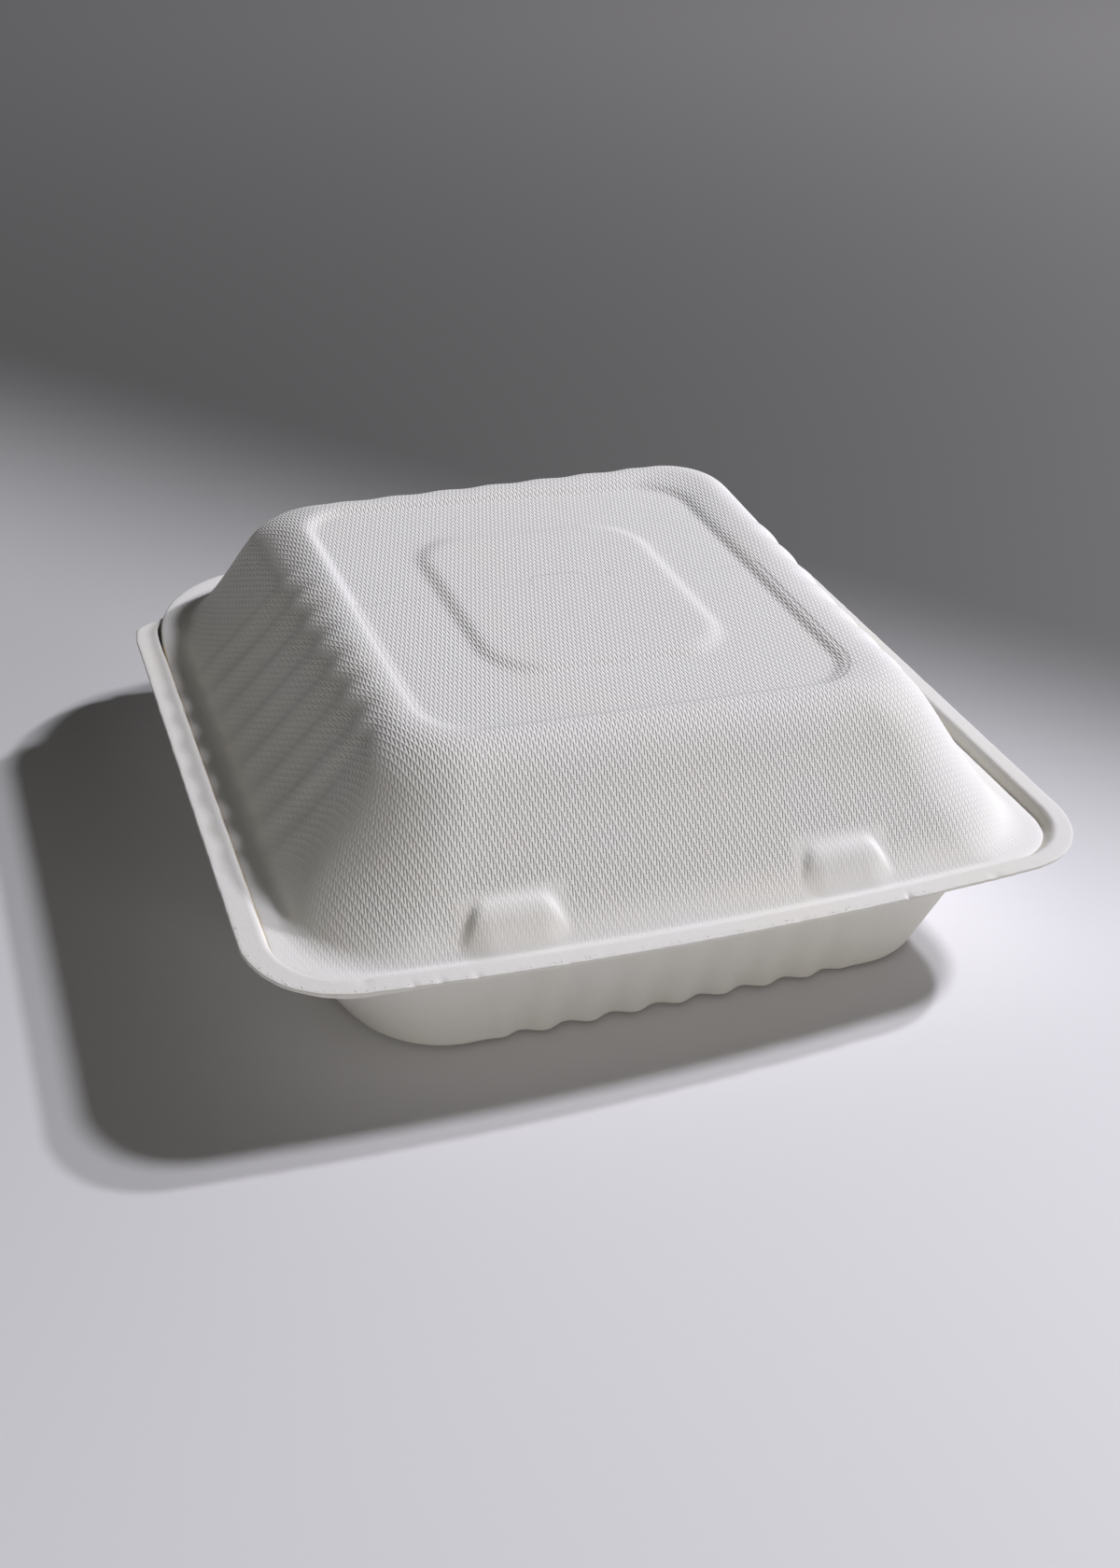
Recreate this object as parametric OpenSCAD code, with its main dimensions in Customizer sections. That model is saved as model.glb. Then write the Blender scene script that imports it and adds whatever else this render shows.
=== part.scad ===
// Three-compartment clamshell food container of moulded fibre, lid closed.
// Millimetres, +Z up. Origin: centre of the footprint, on the table, -Y is the front.

/* [Base] */
// Half of the overall width at the rim, measured half way back
rim_half_w = 116.3; // [110:0.1:122]
// Front edge of the rim at its corners, distance forward of the middle
rim_front = 100.9; // [96:0.1:106]
// Back edge of the base, distance behind the middle
rim_back = 103.8; // [100:0.1:108]
// Height of the rim's flat top
rim_z = 37.4; // [34:0.1:42]
// How far the middle of the front edge bulges forward
front_bow = 4.4; // [0:0.1:6]
// Corner radius of the rim at the front
rim_corner = 24; // [20:0.5:28]
// Corner radius of the rim at the back
back_corner = 38.4; // [34:0.1:42]
// Width of the rim's flat top
rim_flat = 5.2; // [4:0.1:6]
// How much narrower the base is at its back edge, on each side
back_inset = 7.3; // [5:0.1:9]
// Height of the channel in which the lid sits
channel_z = 33.4; // [31:0.1:34]
// How far inside the rim's edge the tray's wall stands at the sides
ledge_side = 8.9; // [8:0.1:11]
// How far inside the rim's edge the tray's wall stands at the front
ledge_front = 13.5; // [12:0.1:16]
// How far inside the rim's edge the tray's wall stands at the back
ledge_back = 8.2; // [7:0.1:10]
// Corner radius of the tray's wall at its top, at the front
tray_corner = 37; // [32:0.5:40]
// Corner radius of the tray's wall at its top, at the back
tray_back_corner = 34; // [30:0.5:38]
// Half of the width of the foot
foot_half_w = 84.3; // [81:0.1:88]
// Front edge of the foot, distance forward of the middle
foot_front = 88.5; // [86:0.1:89]
// Back edge of the foot, distance behind the middle
foot_back = 86.6; // [82:0.1:89]
// Corner radius of the foot
foot_corner = 27; // [22:0.5:31]
// How far the tray is moulded off the middle of its rim
tray_shift = -2.4; // [-3:0.1:3]
// How far the flutes of the base wall stand in and out
base_flute = 1.0; // [0:0.1:1.4]
// Distance from one flute of the front wall to the next
base_pitch = 12.9; // [9:0.1:18]
// Half of the length over which the front wall is fluted
base_flute_run = 54; // [30:1:56]
// Thickness of the moulded wall
wall = 1.1; // [0.9:0.05:1.3]

/* [Compartments] */
// Height of the dividing ribs
rib_z = 26; // [18:0.5:29]
// Where the cross rib stands, behind the middle
rib_y = 14; // [5:0.5:25]
// Where the rib between the two small compartments stands
rib_x = 0; // [-15:0.5:15]
// Half of the width of a rib at its crest
rib_crest = 1.8; // [1.6:0.1:3]
// Half of the width of a rib at the floor
rib_foot = 7.5; // [6:0.1:10]

/* [Lid] */
// Width of the lid's flange at the sides
flange_side = 5.6; // [4.5:0.1:7]
// Width of the lid's flange at the front
flange_front = 2.8; // [2:0.1:4]
// Width of the lid's flange at the back
flange_back = 5.4; // [4.5:0.1:7]
// Level of the band round the recess of the lid
lid_z = 70.6; // [66:0.1:72]
// Half of the width of the dome below its shoulder
dome_half_w = 83; // [81:0.1:87]
// Front of the dome below its shoulder, distance forward of the middle
dome_front = 67.8; // [66:0.1:71]
// Back of the dome below its shoulder, distance behind the middle
dome_back = 92.8; // [91.5:0.1:94]
// Corner radius of the dome below its shoulder
dome_corner = 20; // [16:0.5:24]
// How far the round of the shoulder reaches in from the wall
shoulder_in = 14.8; // [12:0.1:16]
// How far the round of the shoulder reaches down
shoulder_down = 9.4; // [7:0.1:12]
// How much the lid's back corner stands up on the right and hangs on the left
lid_warp = 3; // [0:0.1:3.5]
// How far the lid's dome leans to the right
lid_lean = 2.3; // [0:0.1:3]
// How deep the square recess of the lid is pressed
recess_depth = 1.4; // [0.6:0.1:2.2]
// Half of the width of the recess
recess_half = 62.6; // [58:0.1:64]
// Half of the width of the raised middle
panel_half = 35.6; // [30:0.1:40]
// How much longer than wide the raised middle is, at each end
panel_long = 3.2; // [0:0.1:5]
// How far behind the middle the lid's top panel is centred
panel_y = 14.3; // [12:0.1:16]
// How far the flutes of the lid wall stand in and out
lid_flute = 0.8; // [0:0.1:1.1]
// Distance from one flute to the next on the lid's sides
side_pitch = 13; // [9:0.1:18]
// Distance from one flute to the next on the lid's back
back_pitch = 16.5; // [11:0.1:20]
// Centre of the left lug
lug_left = -52.3; // [-56:0.1:-44]
// Centre of the right lug
lug_right = 40.3; // [36:0.1:50]
// Half of the width of a lug at its foot
lug_half = 16; // [12:0.5:18]
// Height of the top of a lug
lug_z = 44.4; // [42:0.1:48]
// How far the face of a lug stands behind the rim's edge
lug_in = 6.2; // [5.8:0.1:7]

/* [Fit] */
// Clearance between the lid and the base where they lie on each other
lay_gap = 0.3; // [0.2:0.05:0.5]
// Clearance beside the lid's edge in the channel
side_gap = 1.3; // [0.6:0.1:1.6]
// Clearance round a tongue inside its lug
tongue_gap = 1.0; // [0.7:0.1:1.5]

/* [Hidden] */
fold_z = rim_z - 0.5;
fold_r = 1.5;
fold_t = 0.9;
flange_z = channel_z + lay_gap;
lug_y = -rim_front + lug_in;
lug_set = wall + 0.1;
taper = 0.00022;
fade = 9;
back_half_w = rim_half_w - back_inset;
tray_half_w = rim_half_w - ledge_side;
tray_front = rim_front - ledge_front;
tray_back = rim_back - ledge_back;
channel_side = rim_flat + 1.9;
channel_end = rim_flat + 1.6;
lid_edge_w = rim_half_w - channel_side - side_gap;
lid_edge_front = rim_front - channel_end - side_gap + 0.3;
lid_foot_w = lid_edge_w + 0.1 - flange_side;
lid_foot_front = lid_edge_front - flange_front;
lid_foot_back = rim_back - flange_back;
$fn = 32;

function mix(a, b, t) = a + (b - a) * t;
function clamp01(t) = min(1, max(0, t));
function ease(t) = let (c = clamp01(t)) c * c * (3 - 2 * c);

// Strength of the flutes along a side that runs from a to b: none at its ends.
function window(c, a, b) = ease((c - a) / fade) * ease((b - c) / fade);
function flute(c, a, b, pitch, c0) = window(c, a, b) * cos(360 * (c - c0) / pitch);

// One closed ring of points round the container at one level.
// s = [half width, front, back, front radius, back radius, height, bow, taper, lean, warp]
// f = [flute, front share, side pitch, back pitch, half length of the fluted front]
function ring(s, f, y0, y1, nf, ns, nc) =
    let (
        hx = s[0],
        yf = s[1],
        yb = s[2],
        rf = s[3],
        rb = s[4],
        z = s[5],
        xf = min(f[4], hx - rf),
        xb = min(f[4], hx - rb),
        ya = max(y0, yf + rf),
        yc = min(y1, yb - rb),
        flat = concat(
            [for (i = [0:nf])
                let (x = mix(-xf, xf, i / nf))
                [x, yf + f[0] * f[1] * flute(x, -xf, xf, base_pitch, -1.7)]],
            [for (i = [0:nc])
                let (a = -90 + 90 * i / nc)
                [hx - rf + rf * cos(a), yf + rf + rf * sin(a)]],
            [for (i = [0:ns])
                let (y = mix(ya, yc, i / ns))
                [hx + f[0] * flute(y, ya, yc, f[2], 4), y]],
            [for (i = [0:nc])
                let (a = 90 * i / nc)
                [hx - rb + rb * cos(a), yb - rb + rb * sin(a)]],
            [for (i = [0:nf])
                let (x = mix(xb, -xb, i / nf))
                [x, yb + f[0] * flute(x, -xb, xb, f[3], 3)]],
            [for (i = [0:nc])
                let (a = 90 + 90 * i / nc)
                [-hx + rb + rb * cos(a), yb - rb + rb * sin(a)]],
            [for (i = [0:ns])
                let (y = mix(yc, ya, i / ns))
                [-hx - f[0] * flute(y, ya, yc, f[2], 4), y]],
            [for (i = [0:nc])
                let (a = 180 + 90 * i / nc)
                [-hx + rf + rf * cos(a), yf + rf + rf * sin(a)]]
        )
    )
    [for (p = flat)
        let (
            front = clamp01(-p[1] / (rim_front - 30)),
            across = clamp01(1 - pow(p[0] / (rim_half_w - 18), 2))
        )
        [p[0] * (1 - s[7] * p[1]) + s[8], p[1] - s[6] * front * across,
            z + s[9] * p[0] / 80 * clamp01(p[1] / 80)]];

// Two rings joined: one round the front and sides, the other round the back.
// The plan changes from y0 to y1 and the level from y2 to y3.
function joined(a, b, y0, y1, y2, y3) =
    [for (i = [0:len(a) - 1])
        let (
            t = ease((a[i][1] - y0) / (y1 - y0)),
            u = ease((a[i][1] - y2) / (y3 - y2))
        )
        [mix(a[i][0], b[i][0], t), mix(a[i][1], b[i][1], t), mix(a[i][2], b[i][2], u)]];

// A closed solid through a list of rings, flat at its first and last ring.
module solid(rings) {
    n = len(rings[0]);
    m = len(rings);
    points = [for (r = rings) each r];
    sides = [for (j = [0:m - 2])
        for (i = [0:n - 1])
            let (
                a = j * n + i,
                b = j * n + (i + 1) % n
            )
            each [[a, a + n, b + n], [a, b + n, b]]];
    first = [[for (i = [0:n - 1]) i]];
    last = [[for (i = [n - 1:-1:0]) (m - 1) * n + i]];
    polyhedron(points = points, faces = concat(first, last, sides), convexity = 8);
}

// Base rings, from the foot up the outside and down the inside.
function base_ring(w, f, b, rf, rb, z, bow, amp, shift = 0) =
    ring([w, -f, b, rf, rb, z, bow, taper, tray_shift * shift, 0],
        [base_flute * amp, 1, base_pitch, base_pitch, base_flute_run],
        48.9 - rim_front, rim_back - 53.8, 42, 36, 10);

// Two base rings joined: the rim is lower and narrower at the back edge.
function rim_ring(a, b) =
    joined(a, b, rim_back - 28.8, rim_back - 22.8, rim_back - 36.8, rim_back - 29.8);

// A ring of the tray's wall, a share k of the way up, t inside its outer face.
function wall_ring(k, t) =
    base_ring(mix(foot_half_w, tray_half_w, k) - t * 1.4, foot_front - 1 - t * 1.2,
        mix(foot_back, tray_back, k + 0.03) - t * 1.2, mix(foot_corner, tray_corner, k) - t,
        mix(foot_corner, tray_back_corner, k) - t, (channel_z - 5) * (k + 0.033), 1.9, 1, 0.8);

function base_outer() = [
    base_ring(foot_half_w - 1.6, foot_front - 1.5, foot_back - 2.6, foot_corner - 1.5,
        foot_corner - 1.5, 0, 0, 0.4, 1),
    base_ring(foot_half_w, foot_front, foot_back, foot_corner, foot_corner, 0.9, 0, 0.8, 1),
    base_ring(foot_half_w + 1.9, foot_front, foot_back + 1.4, foot_corner + 0.8,
        foot_corner + 0.8, 3.4, 0.4, 1, 1),
    wall_ring(0.53, 0),
    base_ring(tray_half_w - 0.6, tray_front - 0.6, tray_back - 1, tray_corner - 0.5,
        tray_back_corner, channel_z - 5, 3.6, 0.8, 0.5),
    base_ring(tray_half_w + 0.8, tray_front, tray_back, tray_corner - 2, tray_back_corner,
        channel_z - 2.2, 4.1, 0, 0.3),
    rim_ring(
        base_ring(rim_half_w - 6, rim_front - 5.9, rim_back - 6.2, rim_corner - 5,
            back_corner - 3.4, channel_z - wall, front_bow, 0),
        base_ring(back_half_w - 2, rim_front - 5.9, rim_back - 6.2, rim_corner - 5,
            back_corner - 3.4, channel_z - wall, front_bow, 0)),
    rim_ring(
        base_ring(rim_half_w - 4.8, rim_front - 4.6, rim_back - 4.2, rim_corner - 4.8,
            back_corner - 2.4, rim_z - 1.7, front_bow, 0),
        base_ring(back_half_w - 1.6, rim_front - 4.6, rim_back - 4.2, rim_corner - 4.8,
            back_corner - 2.4, fold_z - 1.8, front_bow, 0)),
    rim_ring(
        base_ring(rim_half_w - 0.3, rim_front - 0.3, rim_back + 3, rim_corner, back_corner + 4,
            rim_z - 1.5, front_bow, 0),
        base_ring(back_half_w - 0.4, rim_front - 0.3, rim_back - 0.4, rim_corner, back_corner,
            fold_z - 1.7, front_bow, 0)),
    rim_ring(
        base_ring(rim_half_w, rim_front, rim_back + 3, rim_corner, back_corner + 4,
            rim_z - 0.4, front_bow, 0),
        base_ring(back_half_w, rim_front, rim_back, rim_corner, back_corner,
            fold_z - 0.7, front_bow, 0)),
    rim_ring(
        base_ring(rim_half_w - 0.7, rim_front - 0.7, rim_back + 2.3, rim_corner - 0.7,
            back_corner + 3.3, rim_z, front_bow, 0),
        base_ring(back_half_w - 0.7, rim_front - 0.7, rim_back - 0.6, rim_corner - 0.7,
            back_corner - 0.7, fold_z - lay_gap / 2, front_bow, 0))
];

function base_inner() = [
    rim_ring(
        base_ring(rim_half_w - rim_flat - 0.1, rim_front - rim_flat + 0.1, rim_back - 1.8,
            rim_corner - rim_flat, back_corner - 1.4, rim_z, front_bow, 0),
        base_ring(back_half_w - 2.1, rim_front - rim_flat + 0.1, rim_back - 2.4,
            rim_corner - rim_flat, back_corner - 1.9, fold_z - lay_gap / 2, front_bow, 0)),
    rim_ring(
        base_ring(rim_half_w - channel_side, rim_front - channel_end, rim_back - 4.6,
            rim_corner - 6.5, back_corner - 3.4, channel_z, front_bow, 0),
        base_ring(back_half_w - 3.6, rim_front - channel_end, rim_back - 4.6,
            rim_corner - 6.5, back_corner - 3.4, channel_z, front_bow, 0)),
    rim_ring(
        base_ring(tray_half_w - 0.8, tray_front - 1.2, tray_back - 1.4, tray_corner - 3,
            tray_back_corner - 1, channel_z, 4.2, 0),
        base_ring(back_half_w - 5.2, tray_front - 1.2, tray_back - 1.4, tray_corner - 3,
            tray_back_corner - 1, channel_z, 4.2, 0)),
    base_ring(tray_half_w - 1.8, tray_front - 2, tray_back - 2.3, tray_corner - 1.5,
        tray_back_corner - 1, channel_z - 5, 3.6, 0.8, 0.5),
    wall_ring(0.53, wall),
    base_ring(foot_half_w + 1.2, foot_front - 1.3, foot_back + 0.4, foot_corner - 0.2,
        foot_corner - 0.2, 4.4, 0.4, 1, 1),
    base_ring(foot_half_w - 1, foot_front - 2.3, foot_back - 1.4, foot_corner - 1.2,
        foot_corner - 1.2, 2, 0, 0.7, 1),
    base_ring(foot_half_w - 4.5, foot_front - 5.5, foot_back - 5.1, foot_corner - 3,
        foot_corner - 3, wall, 0, 0.3, 1)
];

// A rounded bar from one point to another, used for the ribs and tongues.
module bar(p, q, w, z) {
    hull() {
        for (c = [p, q])
            translate([c[0], c[1], z[0]])
                cylinder(r1 = w[0], r2 = w[1], h = z[1] - z[0], $fn = 24);
    }
}

// One dividing rib: a low wide foot and a tapering crest.
module rib(p, q, grow, lift) {
    bar(p, q, [rib_foot + grow, rib_foot * 0.62 + grow], [lift, wall + 3.2]);
    bar(p, q, [rib_foot * 0.66 + grow, rib_crest + 0.7 + grow], [lift, rib_z + grow - 1.2]);
    bar(p, q, [rib_crest + 0.7 + grow, max(0.3, rib_crest + grow)], [rib_z + grow - 1.4, rib_z + grow]);
}

module ribs() {
    rib([-rim_half_w, rib_y], [rim_half_w, rib_y], 0, 0.2);
    rib([rib_x, rib_y], [rib_x, rim_back], 0, 0.2);
}

// Hollow underside of the ribs, open to the table.
module rib_hollows() {
    bar([-foot_half_w + 14, rib_y], [foot_half_w - 14, rib_y],
        [rib_foot * 0.66 - wall, rib_crest + 0.7 - wall], [-0.5, rib_z - 1.4]);
    bar([rib_x, rib_y], [rib_x, foot_back - 20.6],
        [rib_foot * 0.66 - wall, rib_crest + 0.7 - wall], [-0.5, rib_z - 1.4]);
}

// A flat slab, the building block of the lugs.
module slab(x, half, y, deep, z) {
    translate([x - half, y, z])
        cube([2 * half, deep, 0.01]);
}

// A lug of the lid; with a smaller g the space inside it, or the tongue of the base.
module lug_form(x, g, z0, deep) {
    hull() {
        slab(x, lug_half + g, lug_y + 2.6 - g, deep, z0);
        slab(x, lug_half * 0.73 + g, lug_y - g, deep, z0);
        slab(x, lug_half * 0.72 + g, lug_y + 2.6 - g, deep, lug_z + g - 1.8);
        slab(x, lug_half * 0.66 + g, lug_y + 4 - g, deep, lug_z + g);
    }
    hull() {
        slab(x, lug_half + g + 1.2, lug_y + 3 - g, deep, z0);
        slab(x, lug_half * 0.75 + g, lug_y - 0.5 - g, deep, z0);
        slab(x, lug_half * 0.9 + g, lug_y + 1.8 - g, deep, z0 + 2);
    }
}

// Upright tongue on the floor of the channel, open towards the tray.
module tongue(x) {
    g = -tongue_gap - wall;
    translate([0, lug_set, 0])
        difference() {
            lug_form(x, g, channel_z - 0.6, 3.3);
            translate([0, 1.3, -1])
                lug_form(x, g - 1.2, channel_z + 0.5, 12);
        }
}

// Tray with a fluted wall, a raised rim, three compartments and two tongues at the front.
module base_tray() {
    color([0.93, 0.92, 0.89])
    difference() {
        union() {
            solid(concat(base_outer(), base_inner()));
            intersection() {
                ribs();
                solid([for (i = [1:5]) base_outer()[i]]);
            }
            for (x = [lug_left, lug_right])
                tongue(x);
        }
        rib_hollows();
    }
}

// Lid rings, outside and inside. The dome leans and is warped towards its shoulder.
// p = [half width, front, back]
function lid_ring(p, rf, rb, z, bow, amp, tap, dome = 0) =
    ring([p[0], -p[1], p[2], rf, rb, z, bow, tap, lid_lean * min(1, dome), lid_warp * dome],
        [lid_flute * amp, 0, side_pitch, back_pitch, 60],
        50.9 - rim_front, rim_back - 51.8, 40, 38, 10);
function lip_ring(a, b) =
    joined(a, b, rim_back - 43.8, rim_back - 19.8, rim_back - 49.8, rim_back - 31.8);

// Edge of the flange, e inside it: round the sides, and where it is folded at the back.
function lid_edge(e, z, zb) =
    lip_ring(
        lid_ring([lid_edge_w - e, lid_edge_front - e, rim_back - 6 - e], rim_corner - 8,
            back_corner - 4, z, front_bow, 0, taper),
        lid_ring([back_half_w - 0.2 - e, lid_edge_front - e, rim_back - e], rim_corner - 8,
            back_corner, zb, front_bow, 0, taper));

// Foot of the lid's wall, t inside it.
function lid_foot(t, z, zb) =
    lip_ring(
        lid_ring([lid_foot_w - t, lid_foot_front - t, lid_foot_back - t], dome_corner - 1 - t,
            back_corner - 3.4 - t, z, front_bow * 0.9, 0, taper),
        lid_ring([lid_foot_w - t, lid_foot_front - t, lid_foot_back - t], dome_corner - 1 - t,
            back_corner - 3.4 - t, zb, front_bow * 0.9, 0, taper));

// Size of the wall a share k of the way from its foot to the dome, t inside it.
function wall_size(k, kf, kb, t) = [
    mix(lid_foot_w, dome_half_w, k) - t,
    mix(lid_foot_front, dome_front, kf) - t,
    mix(lid_foot_back, dome_back, kb) - t
];

// Size of the dome over its shoulder, as shares of the round that the shoulder reaches in.
function shoulder_size(k, kf, kb, t) = [
    dome_half_w - shoulder_in * k - t,
    dome_front - shoulder_in * kf - t,
    dome_back - shoulder_in * kb - t
];

// Size of a rounded square round the middle of the top, longer by a at each end.
function panel_size(half, a) = [half, half + a - panel_y, half + a + panel_y];

function lid_outer() = [
    lid_edge(0, flange_z + wall * 0.4, fold_z + lay_gap / 2 + wall * 0.4),
    lid_edge(0.4, flange_z + wall, fold_z + lay_gap / 2 + wall),
    lid_foot(0, flange_z + wall + 0.1, fold_z + wall + 0.3),
    lid_ring(wall_size(0.15, 0.093, 0.25, 0), dome_corner - 1, back_corner - 2.4, fold_z + 2.6,
        front_bow * 0.75, 0.5, taper * 0.9),
    lid_ring(wall_size(0.572, 0.538, 0.607, 0), dome_corner, dome_corner + 7,
        mix(fold_z, lid_z, 0.38), front_bow * 0.4, 1, taper * 0.6, 0.46),
    lid_ring([dome_half_w, dome_front, dome_back], dome_corner, dome_corner - 1,
        lid_z - shoulder_down, 0, 1, taper * 0.2, 1),
    lid_ring(shoulder_size(0.243, 0.284, 0.095, 0), dome_corner, dome_corner - 2,
        lid_z - shoulder_down * 0.574, 0, 1, 0, 1),
    lid_ring(shoulder_size(0.5, 0.581, 0.297, 0), dome_corner - 1, dome_corner - 3.5,
        lid_z - shoulder_down * 0.234, 0, 0.8, 0, 1),
    lid_ring(shoulder_size(0.757, 0.865, 0.54, 0), dome_corner - 3, dome_corner - 4.5,
        lid_z - shoulder_down * 0.053, 0, 0.5, 0, 0.85),
    lid_ring(shoulder_size(1, 1.054, 0.743, 0), dome_corner - 4, dome_corner - 5, lid_z,
        0, 0, 0, 0.5),
    lid_ring(panel_size(recess_half + 1, 0), 15, 15, lid_z - 0.1, 0, 0, 0),
    lid_ring(panel_size(recess_half - 1.6, 0), 13, 13, lid_z - recess_depth, 0, 0, 0),
    lid_ring(panel_size(panel_half + 1.2, panel_long), 11, 11, lid_z - recess_depth, 0, 0, 0),
    lid_ring(panel_size(panel_half - 1.2, panel_long), 9, 9, lid_z - 0.2, 0, 0, 0)
];

function lid_inner() = [
    lid_ring(panel_size(panel_half - 1.4, panel_long), 9, 9, lid_z - 0.2 - wall, 0, 0, 0),
    lid_ring(panel_size(panel_half + 1, panel_long), 11, 11, lid_z - recess_depth - wall,
        0, 0, 0),
    lid_ring(panel_size(recess_half - 1.8, 0), 13, 13, lid_z - recess_depth - wall, 0, 0, 0),
    lid_ring(shoulder_size(1, 1.054, 0.743, 0.5), dome_corner - 4, dome_corner - 5,
        lid_z - wall - 0.1, 0, 0, 0, 0.45),
    lid_ring(shoulder_size(0.5, 0.581, 0.297, wall + 0.2), dome_corner - 2, dome_corner - 4.5,
        lid_z - shoulder_down * 0.234 - wall, 0, 0.8, 0, 1),
    lid_ring(shoulder_size(0, 0, 0, wall + 0.3), dome_corner - 1, dome_corner - 2,
        lid_z - shoulder_down - 0.4, 0, 1, taper * 0.2, 1),
    lid_ring(wall_size(0.572, 0.538, 0.607, wall + 0.3), dome_corner - 1, dome_corner + 6,
        mix(fold_z, lid_z, 0.38) - 0.1, front_bow * 0.4, 1, taper * 0.6, 0.46),
    lid_ring(wall_size(0.15, 0.093, 0.25, wall + 0.2), dome_corner - 2, back_corner - 3.4,
        fold_z + 2.5, front_bow * 0.75, 0.5, taper * 0.9),
    lid_foot(wall, flange_z, fold_z + lay_gap / 2),
    lid_edge(0.3, flange_z, fold_z + lay_gap / 2)
];

// Domed lid with a flange, fluted walls, a pressed square panel and two hollow lugs.
module lid() {
    color([0.95, 0.94, 0.91])
    difference() {
        union() {
            solid(concat(lid_inner(), lid_outer()));
            for (x = [lug_left, lug_right])
                lug_form(x, 0, flange_z + 0.2, 9.5);
        }
        for (x = [lug_left, lug_right])
            translate([0, lug_set, 0])
                lug_form(x, -wall, flange_z - 2, 14);
    }
}

// Folded strip that joins the back edges of the base and the lid.
module hinge_fold() {
    color([0.94, 0.93, 0.9])
    translate([-69, rim_back, fold_z])
        rotate([90, 0, 90])
            linear_extrude(138)
                difference() {
                    intersection() {
                        circle(r = fold_r, $fn = 32);
                        translate([0, -2 * fold_r])
                            square([2 * fold_r, 4 * fold_r]);
                    }
                    circle(r = fold_r - fold_t, $fn = 32);
                }
}

base_tray();
lid();
hinge_fold();
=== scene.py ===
# %% [markdown]
# # A moulded-fibre clamshell, lid closed
# The object is a takeaway box pressed from cane pulp: a tray with a raised rim, a domed lid with a
# woven imprint of the mould's wire screen, and a folded strip at the back that joins the two.
# This lesson builds each of them around a packed construction model, which gives the frame, the
# bodies that move, and the slots that hold the finishes. Lengths below are written in millimetres,
# as on the maker's drawing, and turned to metres once, when a mesh is made.

# %% Load the frame
import bpy, bmesh, math
import numpy as np
from mathutils import Vector, Matrix


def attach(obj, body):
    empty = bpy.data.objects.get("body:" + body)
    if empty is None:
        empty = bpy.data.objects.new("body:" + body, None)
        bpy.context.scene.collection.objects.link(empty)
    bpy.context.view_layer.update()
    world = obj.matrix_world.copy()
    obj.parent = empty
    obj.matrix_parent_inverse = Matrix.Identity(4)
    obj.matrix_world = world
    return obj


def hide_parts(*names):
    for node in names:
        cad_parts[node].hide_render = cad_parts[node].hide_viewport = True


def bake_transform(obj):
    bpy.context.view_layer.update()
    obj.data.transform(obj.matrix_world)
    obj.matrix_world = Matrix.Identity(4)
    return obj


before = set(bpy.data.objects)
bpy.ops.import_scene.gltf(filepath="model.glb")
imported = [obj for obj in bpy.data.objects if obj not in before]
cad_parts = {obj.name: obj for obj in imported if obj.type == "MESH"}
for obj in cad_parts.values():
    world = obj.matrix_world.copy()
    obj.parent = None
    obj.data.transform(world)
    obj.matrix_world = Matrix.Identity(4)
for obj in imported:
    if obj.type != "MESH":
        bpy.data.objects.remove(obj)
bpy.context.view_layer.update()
MM = 0.001

# %% [markdown]
# ## The sizes
# A moulded box is drawn as a few levels, each with its own outline. The sizes here repeat those of
# the construction model, so that the fine shells lie exactly where its solids lie.

# %% Sizes of the base
RIM_W, RIM_FRONT, RIM_BACK, RIM_Z = 116.3, 100.9, 103.8, 37.4
RIM_R, BACK_R, RIM_FLAT = 24.0, 38.4, 5.2
BOW, BOW_RUN, BOW_HALF = 4.4, RIM_FRONT - 30, RIM_W - 18  # the front edge stands out in its middle
WALL, LAY, SIDE_GAP = 1.1, 0.3, 1.3  # the skin, and the play under and beside the lid's flange
CHANNEL_Z = 33.4  # the ledge that carries the flange
CHANNEL_SIDE, CHANNEL_END = RIM_FLAT + 1.9, RIM_FLAT + 1.6
BACK_W = RIM_W - 7.3
TRAY_W, TRAY_FRONT, TRAY_BACK = RIM_W - 8.9, RIM_FRONT - 13.5, RIM_BACK - 8.2
TRAY_R, TRAY_BACK_R, TRAY_SHIFT = 37.0, 34.0, -2.4
FOOT_W, FOOT_FRONT, FOOT_BACK, FOOT_R = 84.3, 88.5, 86.6, 27.0
BASE_FLUTE, BASE_PITCH = 1.0, 12.9
RIB_Z, RIB_Y, RIB_X, RIB_CREST, RIB_FOOT = 26.0, 14.0, 0.0, 1.8, 7.5
TAPER = 0.00022  # every outline narrows towards the back by this share for each millimetre
FOLD_Z, FOLD_R, FOLD_INNER, FOLD_HALF = RIM_Z - 0.5, 1.49, 0.6, 69

# %% Sizes of the lid
LID_Z, RECESS, RECESS_W = 70.6, 1.4, 62.6
WARP, WARP_REACH, LEAN = 3.0, 80, 2.3  # the dried lid rises at its back right, and leans to the right
PANEL_W, PANEL_LONG, PANEL_Y = 35.6, 3.2, 14.3
DOME_W, DOME_FRONT, DOME_BACK, DOME_R = 83.0, 67.8, 92.8, 20.0
SHOULDER, DROP = 14.8, 9.4  # how far the shoulder runs in, and how far it falls
LID_FLUTE, SIDE_PITCH, BACK_PITCH = 1.0, 13.0, 16.5
FLUTE_FADE = 9
LUGS, LUG_HALF, LUG_Y, LUG_Z = (-52.3, 40.3), 16.0, -RIM_FRONT + 6.2, 44.4
FLANGE_Z = CHANNEL_Z + LAY
EDGE_W = RIM_W - CHANNEL_SIDE - SIDE_GAP
EDGE_FRONT = RIM_FRONT - CHANNEL_END - SIDE_GAP + 0.3
LFOOT_W, LFOOT_FRONT, LFOOT_BACK = EDGE_W + 0.1 - 5.6, EDGE_FRONT - 2.8, RIM_BACK - 5.4
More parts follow.
